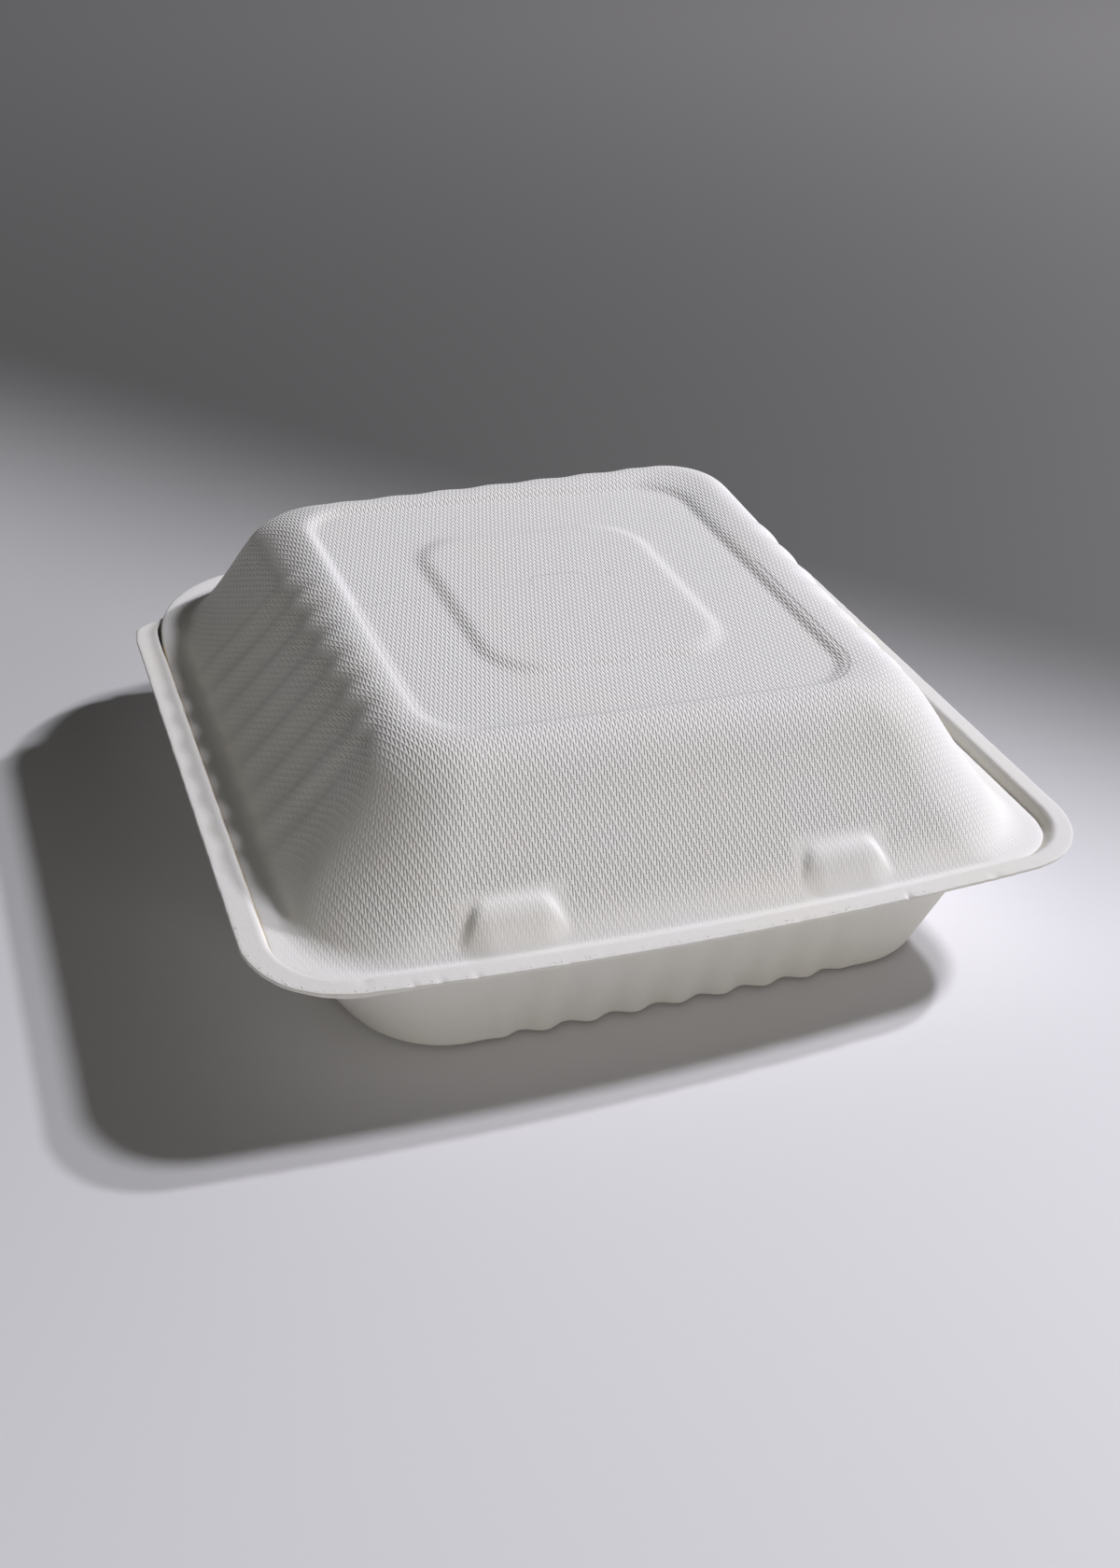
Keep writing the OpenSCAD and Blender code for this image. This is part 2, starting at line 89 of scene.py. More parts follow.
print("lid edge", round(EDGE_W, 2), "foot of the lid's wall", round(LFOOT_W, 2))

# %% [markdown]
# ## Outlines as rings of points
# Each level is a rounded rectangle whose front edge bows out a little. All levels of a shell have
# the same number of points in the same order, so a shell is a grid bent round the box. Points are
# set closer together where a detail sits, such as the two lugs at the front of the lid.


# %% Spacing of the points along one ring
def ease(t):
    t = np.clip(t, 0, 1)
    return t * t * (3 - 2 * t)


def dense(length, step, fine=(), fine_step=0.5):
    """Places from -1 to 1 along a side of that length, closer together round the fine spots."""
    x = np.linspace(-length / 2, length / 2, 4001)
    want = np.full(x.shape, 1 / step)
    for middle, half in fine:
        want = np.maximum(want, (1 / fine_step) * (1 - ease((np.abs(x - middle) - half) / 6)))
    grown = np.concatenate([[0], np.cumsum((want[1:] + want[:-1]) / 2 * np.diff(x))])
    n = int(math.ceil(grown[-1]))
    return np.interp(np.linspace(0, grown[-1], n + 1), grown, x) / (length / 2)


print("places on a 170 mm side, plain and round a lug", len(dense(170, 1.5)), len(dense(170, 1.5, [(0, 19)])))


# %% One outline and its flutes
class Outline:
    """How one shell's rings are sampled, with which side each point belongs to."""

    def __init__(self, front, side, back, front_arc, back_arc):
        self.front, self.side, self.back = front, side, back
        self.front_arc = np.linspace(0, 90, front_arc + 2)[1:-1]
        self.back_arc = np.linspace(0, 90, back_arc + 2)[1:-1]
        nf, ns, nb = len(front), len(side), len(back)
        a, b = front_arc, back_arc
        # 0 front, 1 right, 2 back, 3 left, 4 a corner
        self.part = np.array([0] * nf + [4] * a + [1] * ns + [4] * b
                             + [2] * nb + [4] * b + [3] * ns + [4] * a)
        self.count = len(self.part)

    def ring(self, w, f, b, rf, rb, z, bow=0.0, tap=0.0, lean=0.0, warp=0.0):
        """The points of one ring, in the order front, right, back, left."""
        def arc(cx, cy, r, degrees):
            t = np.radians(degrees)
            return np.stack([cx + r * np.cos(t), cy + r * np.sin(t)], 1)

        s = (self.side + 1) / 2
        y0, y1 = -f + rf, b - rb
        one = np.ones
        flat = np.concatenate([
            np.stack([self.front * (w - rf), -f * one(len(self.front))], 1),
            arc(w - rf, y0, rf, self.front_arc - 90),
            np.stack([w * one(len(s)), y0 + (y1 - y0) * s], 1),
            arc(w - rb, y1, rb, self.back_arc),
            np.stack([-self.back * (w - rb), b * one(len(self.back))], 1),
            arc(-w + rb, y1, rb, self.back_arc + 90),
            np.stack([-w * one(len(s)), y1 + (y0 - y1) * s], 1),
            arc(-w + rf, y0, rf, self.front_arc + 180),
        ])
        x, y = flat[:, 0], flat[:, 1]
        front = np.clip(-y / BOW_RUN, 0, 1)
        across = np.clip(1 - (x / BOW_HALF) ** 2, 0, 1)
        return np.stack([x * (1 - tap * y) + lean, y - bow * front * across,
                         z + warp * x / WARP_REACH * np.clip(y / WARP_REACH, 0, 1)], 1)

    def flutes(self, w, f, b, rf, rb, low, high, run, share_front):
        """How strongly each point of a ring is fluted: none at the ends of a side."""
        def window(c, a, e):
            return ease((c - a) / FLUTE_FADE) * ease((e - c) / FLUTE_FADE)

        out = np.zeros(self.count)
        xf, xb = min(run, w - rf), min(run, w - rb)
        ya, yc = max(low, -f + rf), min(high, b - rb)
        s = (self.side + 1) / 2
        y = (-f + rf) + ((b - rb) - (-f + rf)) * s
        out[self.part == 0] = share_front * window(self.front * (w - rf), -xf, xf)
        out[self.part == 1] = window(y, ya, yc)
        out[self.part == 2] = window(-self.back * (w - rb), -xb, xb)
        out[self.part == 3] = window(y[::-1], ya, yc)
        return out


def joined(a, b, y0, y1, y2, y3):
    """Ring a round the front and sides, ring b round the back; the level turns from y2 to y3."""
    t = ease((a[:, 1] - y0) / (y1 - y0))[:, None]
    u = ease((a[:, 1] - y2) / (y3 - y2))
    out = a + (b - a) * t
    out[:, 2] = a[:, 2] + (b[:, 2] - a[:, 2]) * u
    return out


# %% [markdown]
# ## From levels to a smooth wall
# Pulp can't fill a sharp corner, so every edge of the box is soft. The levels are therefore used as
# control points of a quadratic curve that runs up the wall: it touches the middle of each step and
# rounds every corner between. A corner is made crisper by putting two levels close together.


# %% Rounded walls through the levels
def mid_curve(controls, steps):
    """A quadratic curve through lists of rings; steps is the number of rows for each control."""
    c = np.stack(controls)
    m = (c[:-1] + c[1:]) / 2
    rows = [c[:1]]
    for k in range(1, len(c) - 1):
        t = np.linspace(0, 1, steps[k] + 1)[min(1, k - 1):]
        t = t.reshape((-1,) + (1,) * (c.ndim - 1))
        rows.append((1 - t) ** 2 * m[k - 1] + 2 * t * (1 - t) * c[k] + t ** 2 * m[k])
    rows.append(c[-1:])
    return np.concatenate(rows)


def smooth_max(a, b, k):
    """The higher of two heights, with a fillet of about size k between them."""
    h = np.clip(0.5 + 0.5 * (a - b) / k, 0, 1)
    return b + (a - b) * h + k * h * (1 - h)


def smooth_min(a, b, k):
    return -smooth_max(-a, -b, k)


square_corner = [np.array(c) for c in ((0.0, 0.0), (0.0, 1.0), (1.0, 1.0))]
print("a square corner becomes", mid_curve(square_corner, [1, 2, 1]).round(2).tolist())


# %% Meshes from rows of rings
def add_object(name, mesh):
    made = bpy.data.objects.new(name, mesh)
    bpy.context.scene.collection.objects.link(made)
    return made


def grid_mesh(name, points, layers):
    """A closed shell from rows of rings, capped at both ends; layers are attributes per point."""
    rows, n = points.shape[:2]
    verts = [tuple(p) for p in (points.reshape(-1, 3) * MM)]
    faces = []
    for j in range(rows - 1):
        for i in range(n):
            k = (i + 1) % n
            faces.append((j * n + i, j * n + k, (j + 1) * n + k, (j + 1) * n + i))
    faces.append(tuple(range(n - 1, -1, -1)))
    faces.append(tuple((rows - 1) * n + i for i in range(n)))
    mesh = bpy.data.meshes.new(name)
    mesh.from_pydata(verts, [], faces)
    for label, (kind, values) in layers.items():
        layer = mesh.attributes.new(label, kind, "POINT")
        field = "vector" if kind == "FLOAT_VECTOR" else "value"
        layer.data.foreach_set(field, np.asarray(values, np.float32).ravel())
    mesh.update()
    return add_object(name, mesh)


def set_outward(piece):
    """Turns all faces the same way, outwards, and shades them smooth."""
    work = bmesh.new()
    work.from_mesh(piece.data)
    bmesh.ops.recalc_face_normals(work, faces=work.faces)
    work.to_mesh(piece.data)
    work.free()
    piece.data.shade_smooth()


# %% [markdown]
# ## The lid's levels
# The lid is one skin about a millimetre thick. The list below goes from the middle of its underside
# out to the flange, round the edge, and back over the outside to the middle of the top.

# %% Rings of the lid
LIP_TURN = (60, 84, 54, 72)  # where the flange's side profile turns into its back's
LID_FLUTED = (-50, 52, 60)  # the sides are fluted between the first two, the back up to the third
lid_line = Outline(dense(170, 1.5, [(c, 19) for c in LUGS], 0.55), dense(134, 1.15),
                   dense(134, 1.35), 20, 26)


def lid_ring(size, rf, rb, z, bow=0.0, fluted=0.0, taper=0.0, warped=0.0):
    """A ring of that half width, front and back, with its corner radii and its level; the rest says
    how far it bows out, how deep it is fluted, how it narrows, and what share of the warp it has."""
    w, f, b = size
    p = lid_line.ring(w, f, b, rf, rb, z, bow, taper, LEAN * min(1, warped), WARP * warped)
    return np.concatenate([p, (fluted * lid_line.flutes(w, f, b, rf, rb, *LID_FLUTED, 0))[:, None]], 1)


def lip(a, b):
    out = a.copy()
    out[:, :3] = joined(a[:, :3], b[:, :3], *LIP_TURN)
    return out


def lid_edge(e, z, zb):
    """The flange's edge, inset by e, at level z and at zb round the back."""
    front, r = EDGE_FRONT + 0.5 - e, RIM_R - 8
    side = lid_ring((EDGE_W + 0.9 - e, front, RIM_BACK - 6 - e), r, BACK_R - 4, z, BOW,
                    taper=TAPER)
    back = lid_ring((BACK_W - 0.2 - e, front, RIM_BACK - e), r, BACK_R, zb, BOW, taper=TAPER)
    return lip(side, back)


def lid_foot(t, z, zb, toe=0.0):
    """Where the wall leaves the flange, inset by t; toe moves its front out."""
    size = (LFOOT_W - t, LFOOT_FRONT - t + toe, LFOOT_BACK - t)
    at = [lid_ring(size, DOME_R + 4 - t, BACK_R - 3.4 - t, level, BOW * 0.9, taper=TAPER)
          for level in (z, zb)]
    return lip(*at)


def mix(a, b, t):
    return a + (b - a) * t


def wall_size(side, front, back, t):
    """A size on the wall: shares of the way from its foot to the dome, inset by t."""
    return (mix(LFOOT_W, DOME_W, side) - t, mix(LFOOT_FRONT, DOME_FRONT, front) - t,
            mix(LFOOT_BACK, DOME_BACK, back) - t)


def over_shoulder(side, front, back, t):
    """A size on the shoulder: shares of its run, inset by t."""
    return (DOME_W - SHOULDER * side - t, DOME_FRONT - SHOULDER * front - t,
            DOME_BACK - SHOULDER * back - t)


def panel(half, longer):
    """A size of the pressed square on top, longer from front to back by this at each end."""
    return (half, half + longer - PANEL_Y, half + longer + PANEL_Y)


print("points in a ring of the lid", lid_line.count, "size of its panel", panel(PANEL_W, PANEL_LONG))

# %% Levels of the lid
MID_Z = mix(FOLD_Z, LID_Z, 0.38)
outer = [
    (lid_edge(0, FLANGE_Z + WALL * 0.4, FOLD_Z + LAY / 2 + WALL * 0.4), 2),
    (lid_edge(0.4, FLANGE_Z + WALL, FOLD_Z + LAY / 2 + WALL), 3),
    (lid_foot(0, FLANGE_Z + WALL + 0.1, FOLD_Z + WALL + 0.3, 1.0), 9),
    (lid_ring(wall_size(0.15, 0.15, 0.25, 0), DOME_R + 5, BACK_R - 2.4, FOLD_Z + 2.6,
              bow=BOW * 0.75, fluted=0.5, taper=TAPER * 0.9), 10),
    (lid_ring(wall_size(0.572, 0.538, 0.607, 0), DOME_R + 6, DOME_R + 9, MID_Z, bow=BOW * 0.4,
              fluted=1, taper=TAPER * 0.6, warped=0.46), 11),
    (lid_ring((DOME_W, DOME_FRONT, DOME_BACK), DOME_R + 2, DOME_R, LID_Z - DROP, fluted=1,
              taper=TAPER * 0.2, warped=1), 6),
    (lid_ring(over_shoulder(0.243, 0.284, 0.095, 0), DOME_R, DOME_R - 2, LID_Z - DROP * 0.574,
              fluted=0.75, warped=1), 4),
    (lid_ring(over_shoulder(0.5, 0.581, 0.297, 0), DOME_R - 1, DOME_R - 3.5, LID_Z - DROP * 0.234,
              fluted=0.5, warped=1), 4),
    (lid_ring(over_shoulder(0.757, 0.865, 0.54, 0), DOME_R - 3, DOME_R - 4.5, LID_Z - DROP * 0.053,
              fluted=0.25, warped=0.85), 3),
    (lid_ring(over_shoulder(1, 1.054, 0.743, 0), DOME_R - 4, DOME_R - 5, LID_Z, warped=0.5), 3),
    (lid_ring(panel(RECESS_W + 1, 0), 15, 15, LID_Z), 4),
    (lid_ring(panel(RECESS_W - 1.7, 0), 13, 13, LID_Z - RECESS - 0.15), 4),
    (lid_ring(panel(RECESS_W - 4.2, 0), 12, 12, LID_Z - RECESS), 3),
    (lid_ring(panel(PANEL_W + 4.2, PANEL_LONG), 18, 18, LID_Z - RECESS), 3),
    (lid_ring(panel(PANEL_W + 1.4, PANEL_LONG), 16.5, 16.5, LID_Z - RECESS), 4),
    (lid_ring(panel(PANEL_W - 1.8, PANEL_LONG), 14.5, 14.5, LID_Z - 0.2), 4),
    (lid_ring(panel(PANEL_W - 5.5, PANEL_LONG), 12, 12, LID_Z - 0.15), 3),
    (lid_ring(panel(18, PANEL_LONG), 7, 7, LID_Z - 0.2), 2),
    (lid_ring(panel(1.2, 0.2), 0.5, 0.5, LID_Z - 0.2), 1),
]
inner = [
    (lid_ring(panel(1.2, 0.2), 0.5, 0.5, LID_Z - 0.2 - WALL), 1),
    (lid_ring(panel(18, PANEL_LONG), 7, 7, LID_Z - 0.2 - WALL), 1),
    (lid_ring(panel(PANEL_W - 1.4, PANEL_LONG), 9, 9, LID_Z - 0.2 - WALL), 2),
    (lid_ring(panel(PANEL_W + 1, PANEL_LONG), 11, 11, LID_Z - RECESS - WALL), 2),
    (lid_ring(panel(RECESS_W - 1.8, 0), 13, 13, LID_Z - RECESS - WALL), 2),
    (lid_ring(over_shoulder(1, 1.054, 0.743, 0.5), DOME_R - 4, DOME_R - 5, LID_Z - WALL - 0.1,
              warped=0.45), 2),
    (lid_ring(over_shoulder(0.5, 0.581, 0.297, WALL + 0.2), DOME_R - 2, DOME_R - 4.5,
              LID_Z - DROP * 0.234 - WALL, fluted=0.8, warped=1), 3),
    (lid_ring(over_shoulder(0, 0, 0, WALL + 0.3), DOME_R - 1, DOME_R - 2, LID_Z - DROP - 0.4,
              fluted=1, taper=TAPER * 0.2, warped=1), 4),
    (lid_ring(wall_size(0.572, 0.538, 0.607, WALL + 0.3), DOME_R + 5, DOME_R + 8, MID_Z - 0.1,
              bow=BOW * 0.4, fluted=1, taper=TAPER * 0.6, warped=0.46), 6),
    (lid_ring(wall_size(0.15, 0.15, 0.25, WALL + 0.2), DOME_R + 4, BACK_R - 3.4, FOLD_Z + 2.5,
              bow=BOW * 0.75, fluted=0.5, taper=TAPER * 0.9), 6),
    (lid_foot(WALL, FLANGE_Z, FOLD_Z + LAY / 2), 4),
    (lid_edge(0.3, FLANGE_Z, FOLD_Z + LAY / 2), 2),
]
levels = inner + outer
lid_rows = mid_curve([r for r, _ in levels], [s for _, s in levels])
inside_rows = 1 + sum(s for _, s in inner[1:]) + 1
print("lid rows", lid_rows.shape[0], "points in a row", lid_line.count, "rows inside", inside_rows)

# %% [markdown]
# ## How the wire screen lies on the mould
# Pulp is drawn onto a mould covered by woven wire, and the wire's pattern stays in the lid's face.
# The screen is one sheet, laid over the dome: its wires keep their spacing along the surface. So
# each point gets a place on the flat screen, measured along the surface from the middle of the top.


# %% Place of every point on the flat screen
def drape(rows):
    """Screen coordinates: lengths along x and along y, measured over the surface."""
    p = rows[..., :3]
    out = np.zeros(p.shape[:2] + (3,))
    out[-1, :, :2] = p[-1, :, :2]
    for j in range(len(p) - 2, -1, -1):
        d = p[j] - p[j + 1]
        flat = np.hypot(d[:, 0], d[:, 1]) + 1e-9
        slope = d[:, 2] / flat
        nx, ny = d[:, 0] / flat, d[:, 1] / flat
        out[j, :, 0] = out[j + 1, :, 0] + d[:, 0] * np.sqrt(1 + (slope * nx) ** 2)
        out[j, :, 1] = out[j + 1, :, 1] + d[:, 1] * np.sqrt(1 + (slope * ny) ** 2)
    return out


SKEW, SKEW_FROM = 0.17, 52  # down the front wall the columns lean over by this share
screen = drape(lid_rows)
front_run = np.clip(-screen[..., 1] - SKEW_FROM, 0, None) * ease((-lid_rows[..., 1] - 40) / 20)
screen[..., 0] += SKEW * front_run
print("screen reaches", screen[..., 0].min().round(1), screen[..., 0].max().round(1),
      screen[..., 1].min().round(1), screen[..., 1].max().round(1))

# %% [markdown]
# ## The lugs
# Two blunt lugs stand on the flange, against the front wall, and fit over tongues of the base. They
# are pressed in the same skin, so they are raised from it, with a soft fillet all round, instead of
# being set on as blocks.


# %% Raise the lugs
FRONT_SLOPE, SIDE_SLOPE = 1.3, 1.55
SIDE_FILLET, TOP_FILLET = 3.2, 3.4


def lug_height(x, y, middle, g, back=0.0):
    """Height of a lug's face over a place; g makes it larger, back moves its front in."""
    t = np.abs(x - middle)
    y0 = LUG_Y - 0.9 - g + back
    z0 = FLANGE_Z + 0.2
    front = z0 + (y - y0 - 1.6 * np.clip((t - 6) / 8, 0, 1) ** 2) * FRONT_SLOPE
    side = z0 + (LUG_HALF + 0.6 + g - t) * SIDE_SLOPE
    top = LUG_Z + 0.2 + g - 0.02 * t
    return smooth_min(smooth_min(front, side, SIDE_FILLET), top, TOP_FILLET)


inner_face = (slice(0, inside_rows), -WALL, 0.4, 0.5)
outer_face = (slice(inside_rows, None), 0.0, 0.0, 1.3)
for middle in LUGS:
    for rows, g, back, fillet in (inner_face, outer_face):
        p = lid_rows[rows]
        height = lug_height(p[..., 0], p[..., 1], middle, g, back)
        near = ((np.abs(p[..., 0] - middle) < LUG_HALF + 7) & (p[..., 1] < -70)
                & (p[..., 2] < LUG_Z + 3) & (height > p[..., 2] - 3))
        p[..., 2] = np.where(near, smooth_max(p[..., 2], height, fillet), p[..., 2])
print("lid height", lid_rows[..., 2].max().round(2))

# %% [markdown]
# ## Flutes by geometry nodes
# The walls are stiffened by soft vertical flutes. They follow a rule, a wave along each wall, so a
# node tree makes them: each point moves along its own outward arrow by a cosine of its distance
# along the wall. Depth and pitches are the tree's inputs, and the same tree serves lid and base.


# %% Short ways to build a node tree
class Tree:
    """Builds a node tree in short lines: a node's type, its settings, then its sockets."""

    def __init__(self, tree):
        self.tree = tree

    def link(self, source, target):
        self.tree.links.new(source.socket if isinstance(source, Sock) else source, target)

    def fill(self, target, value):
        """Links a socket, or sets it to a constant."""
        if isinstance(value, (Sock, bpy.types.NodeSocket)):
            self.link(value, target)
        else:
            target.default_value = value

    def node(self, kind, settings=(), **sockets):
        """A socket is given by its name, or by its number as in s0."""
        made = self.tree.nodes.new(kind)
        for name, value in dict(settings).items():
            setattr(made, name, value)
        for name, value in sockets.items():
            self.fill(made.inputs[int(name[1:]) if name[1:].isdigit() else name.replace("_", " ")],
                      value)
        return made

    def value(self, kind, settings=(), out=0, **sockets):
        return Sock(self, self.node(kind, settings, **sockets).outputs[out])

    def attribute(self, label):
        """A number that the mesh carries for each point."""
        return self.value("ShaderNodeAttribute", {"attribute_name": label}, out=2)

    def colours(self, factor, first, second, blend="MIX"):
        """A Mix of two colours, each a link or four numbers."""
        made = self.node("ShaderNodeMix", {"data_type": "RGBA", "blend_type": blend}, Factor=factor)
        for target, value in zip([s for s in made.inputs if s.type == "RGBA"], (first, second)):
            self.fill(target, value)
        return [s for s in made.outputs if s.type == "RGBA"][0]


class Sock:
    """A number in a node tree. Plain Python arithmetic on it adds Math nodes."""

    def __init__(self, tree, socket):
        self.tree, self.socket = tree, socket

    def math(self, operation, *others):
        numbers = {"s%d" % k: value for k, value in enumerate((self, *others))}
        return self.tree.value("ShaderNodeMath", {"operation": operation}, **numbers)

    def __add__(self, o): return self.math("ADD", o)
    def __radd__(self, o): return self.math("ADD", o)
    def __sub__(self, o): return self.math("SUBTRACT", o)

    def __rsub__(self, o):
        return self.tree.value("ShaderNodeMath", {"operation": "SUBTRACT"}, s0=o, s1=self)

    def __mul__(self, o): return self.math("MULTIPLY", o)
    def __rmul__(self, o): return self.math("MULTIPLY", o)
    def __truediv__(self, o): return self.math("DIVIDE", o)
    def floor(self): return self.math("FLOOR")
    def fract(self): return self.math("FRACT")
    def cos(self): return self.math("COSINE")
    def abs(self): return self.math("ABSOLUTE")

    def smooth(self, low, high):
        """A soft step, 0 below low and 1 above high."""
        return self.tree.value("ShaderNodeMapRange", {"interpolation_type": "SMOOTHSTEP"},
                               s0=self, s1=low, s2=high)


# %% Start, end and run a geometry tree
def new_group(name, inputs):
    """A tree that takes a Geometry, the named inputs and a Material, and gives a Geometry."""
    group = bpy.data.node_groups.new(name, "GeometryNodeTree")
    face = group.interface
    face.new_socket("Geometry", in_out="INPUT", socket_type="NodeSocketGeometry")
    for label, kind, value in inputs:
        face.new_socket(label, in_out="INPUT", socket_type="NodeSocket" + kind).default_value = value
    face.new_socket("Material", in_out="INPUT", socket_type="NodeSocketMaterial")
    face.new_socket("Geometry", in_out="OUTPUT", socket_type="NodeSocketGeometry")
    t = Tree(group)
    return group, t, t.node("NodeGroupInput").outputs


def end_group(t, shape, material):
    """Makes copies real and sets the material, because an export drops instances."""
    real = t.node("GeometryNodeRealizeInstances", Geometry=shape)
    clad = t.node("GeometryNodeSetMaterial", Geometry=real.outputs[0], Material=material)
    t.link(clad.outputs[0], t.node("NodeGroupOutput").inputs[0])


def keep_result(piece, modifier):
    """Makes a modifier's result the piece's plain mesh, and takes the modifier off."""
    graph = bpy.context.evaluated_depsgraph_get()
    mesh = bpy.data.meshes.new_from_object(piece.evaluated_get(graph),
                                           preserve_all_data_layers=True, depsgraph=graph)
    piece.modifiers.remove(modifier)
    old, piece.data = piece.data, mesh
    bpy.data.meshes.remove(old)
    piece.data.name = piece.name


def run_tree(piece, group, values):
    modifier = piece.modifiers.new(group.name, "NODES")
    modifier.node_group = group
    keys = {i.name: i.identifier for i in group.interface.items_tree
            if i.item_type == "SOCKET" and i.in_out == "INPUT"}
    for label, value in values.items():
        modifier[keys[label]] = value
    bpy.context.view_layer.update()
    keep_result(piece, modifier)


# %% A tree that flutes a wall
SIDE_START, BACK_START, FRONT_START = 4.0, 3.0, -1.7  # where a crest stands on each wall


def flute_tree():
    labels = ("Depth", "Side pitch", "Back pitch", "Front pitch")
    group, t, given = new_group("fluted_wall", [
        (label, "Float", size * MM)
        for label, size in zip(labels, (LID_FLUTE, SIDE_PITCH, BACK_PITCH, BASE_PITCH))])
    depth, side_pitch, back_pitch, front_pitch = (Sock(t, given[label]) for label in labels)

    def named(label, kind="FLOAT"):
        return t.value("GeometryNodeInputNamedAttribute", {"data_type": kind}, Name=label)

    part = named("wall_part")
    back, front = part.math("GREATER_THAN", 1.5), part.math("LESS_THAN", 0.5)
    side = 1 - back - front
    pitch = side_pitch * side + back_pitch * back + front_pitch * front
    start = SIDE_START * MM * side + BACK_START * MM * back + FRONT_START * MM * front
    wave = ((named("wall_run") - start) / pitch * (2 * math.pi)).cos() * depth
    push = t.node("ShaderNodeVectorMath", {"operation": "SCALE"},
                  s0=named("wall_push", "FLOAT_VECTOR"), Scale=wave)
    moved = t.node("GeometryNodeSetPosition", Geometry=given["Geometry"], Offset=push.outputs[0])
    end_group(t, moved.outputs[0], given["Material"])
    return group


def wall_layers(line, rows):
    """What the flute tree reads: which wall, the place along it, and the outward arrow."""
    part = np.broadcast_to(line.part, rows.shape[:2])
    run = np.where((part == 0) | (part == 2), rows[..., 0], rows[..., 1]) * MM
    kind = np.where(part == 0, 0.0, np.where(part == 2, 2.0, 1.0))
    push = np.zeros(rows.shape[:2] + (3,))
    for which, arrow in ((0, (0, -1)), (1, (1, 0)), (2, (0, 1)), (3, (-1, 0))):
        push[part == which, :2] = arrow
    return {"wall_run": ("FLOAT", run), "wall_part": ("FLOAT", kind),
            "wall_push": ("FLOAT_VECTOR", push * rows[..., 3:4])}


flutes = flute_tree()
print("flute tree nodes", len(flutes.nodes))

# %% [markdown]
# ## The finish
# Cane pulp dries to a warm off-white with no gloss at all. The lid shows the screen: five-shed
# weave, long grooves in columns, each broken by a small bridge that steps two rows down from one
# column to the next. Short fibres and soft clouding break up the rest. Height goes to a bump, and
# the colour is darker in the grooves, in the crease and over the imprinted face: painted shade.


# %% The screen's marks as numbers
COLUMNS, ROWS = 1.30, 1.38  # of the weave, for each millimetre of the screen
SHED, SHED_STEP = 5.0, 2.0  # rows in one groove, and rows from one column's bridge to the next's


def screen_marks(t, wander):
    """Grooves, bridges, weft and creases from 0 to 1, and where the imprint and side walls are."""
    place = t.node("ShaderNodeAttribute", {"attribute_name": "screen"}).outputs["Vector"]
    split = t.node("ShaderNodeSeparateXYZ", Vector=place)
    column = Sock(t, split.outputs[0]) * COLUMNS + wander
    row = Sock(t, split.outputs[1]) * ROWS + wander
    mask, side = t.attribute("imprint"), t.attribute("side_wall")
    groove = ((column.fract() - 0.5) * (2 * math.pi)).cos() * 0.5 + 0.5
    along = ((row + column.floor() * SHED_STEP) / SHED).fract()
    bar = along.smooth(0.0, 0.14) * (1 - along.smooth(0.72, 0.86))
    cut = groove * bar * mask * (1 - side * 0.72)
    bridge = groove * (1 - bar) * mask
    weft = (row * (2 * math.pi)).cos() * mask
    crease = 1 - t.attribute("crease").abs().smooth(0.15, 0.75)
    return cut, bridge, weft, crease, mask, side


# %% Paper-fibre materials
def fibre_material(name, colour, warm, woven=False, stain_and_glow=None):
    """Two close tints in soft clouds, fibres as a bump, and the screen's marks if it is woven."""
    material = bpy.data.materials.new(name)
    material.use_nodes = True
    material.node_tree.nodes.clear()
    t = Tree(material.node_tree)
    place = t.node("ShaderNodeTexCoord").outputs["Object"]

    def noise(scale, detail, rough=0.55):
        return t.value("ShaderNodeTexNoise", Vector=place, Scale=scale, Detail=detail, Roughness=rough)

    cloud, mottle, hair = noise(28.0, 3.0), noise(330.0, 4.0, 0.6), noise(1100.0, 3.0, 0.65)
    height = mottle * 0.35 + hair * 0.4
    shade = (cloud - 0.5) * 0.05 + (mottle - 0.5) * 0.05 + (hair - 0.5) * 0.04
    if woven:
        cut, bridge, weft, crease, mask, side = screen_marks(t, (noise(60.0, 1.0) - 0.5) * 0.3)
        height = height * 0.5 - cut * 1.1 + bridge * 0.3 - crease * 0.9 + weft * (side * 0.13 + 0.05)
        # Painted shade: darker colour in the grooves, the crease and the whole imprinted face; the weft term
        # paints faint light and shade along the rows of the side walls.
        shade = shade - cut * 0.08 - mask * 0.08 - crease * 0.12 + weft * side * 0.015
    tone = t.colours(cloud.smooth(0.35, 0.7), (*colour, 1), (*warm, 1))
    # A tint laid by an attribute: on the base the cream slope, the fibre's own colour; on the lid a painted
    # glow along the flange.
    if stain_and_glow:
        label, tint = stain_and_glow
        amount = t.attribute(label)
        height = height + amount * (noise(700.0, 4.0, 0.7) * 1.4)
        tone = t.colours(amount * (0.75 + (mottle - 0.5) * 1.2), tone, (*tint, 1))
    level = shade + 1.0
    grey = t.node("ShaderNodeCombineColor", Red=level, Green=level, Blue=level)
    tone = t.colours(1.0, tone, grey.outputs[0], "MULTIPLY")
    bump = t.node("ShaderNodeBump", Strength=1.0, Distance=0.00013, Height=height)
    shader = t.node("ShaderNodeBsdfPrincipled", Base_Color=tone, Roughness=0.86, IOR=1.38,
                    Normal=bump.outputs[0])
    t.link(shader.outputs[0], t.node("ShaderNodeOutputMaterial").inputs[0])
    return material


# The lid's golden tint is a painted glow: light showing through the thin flange on the left.
lid_finish = fibre_material("lid_fibre", (0.81, 0.80, 0.785), (0.80, 0.785, 0.755), woven=True,
                            stain_and_glow=("painted_glow", (0.80, 0.50, 0.16)))
# The base's colour is a darker copy of the lid's, though both are one pulp: painted shade.
base_finish = fibre_material("base_fibre", (0.725, 0.71, 0.69), (0.71, 0.69, 0.65),
                             stain_and_glow=("cream", (0.70, 0.67, 0.58)))
fold_finish = fibre_material("fold_fibre", (0.74, 0.725, 0.695), (0.72, 0.70, 0.66))
print("materials", [m.name for m in bpy.data.materials])
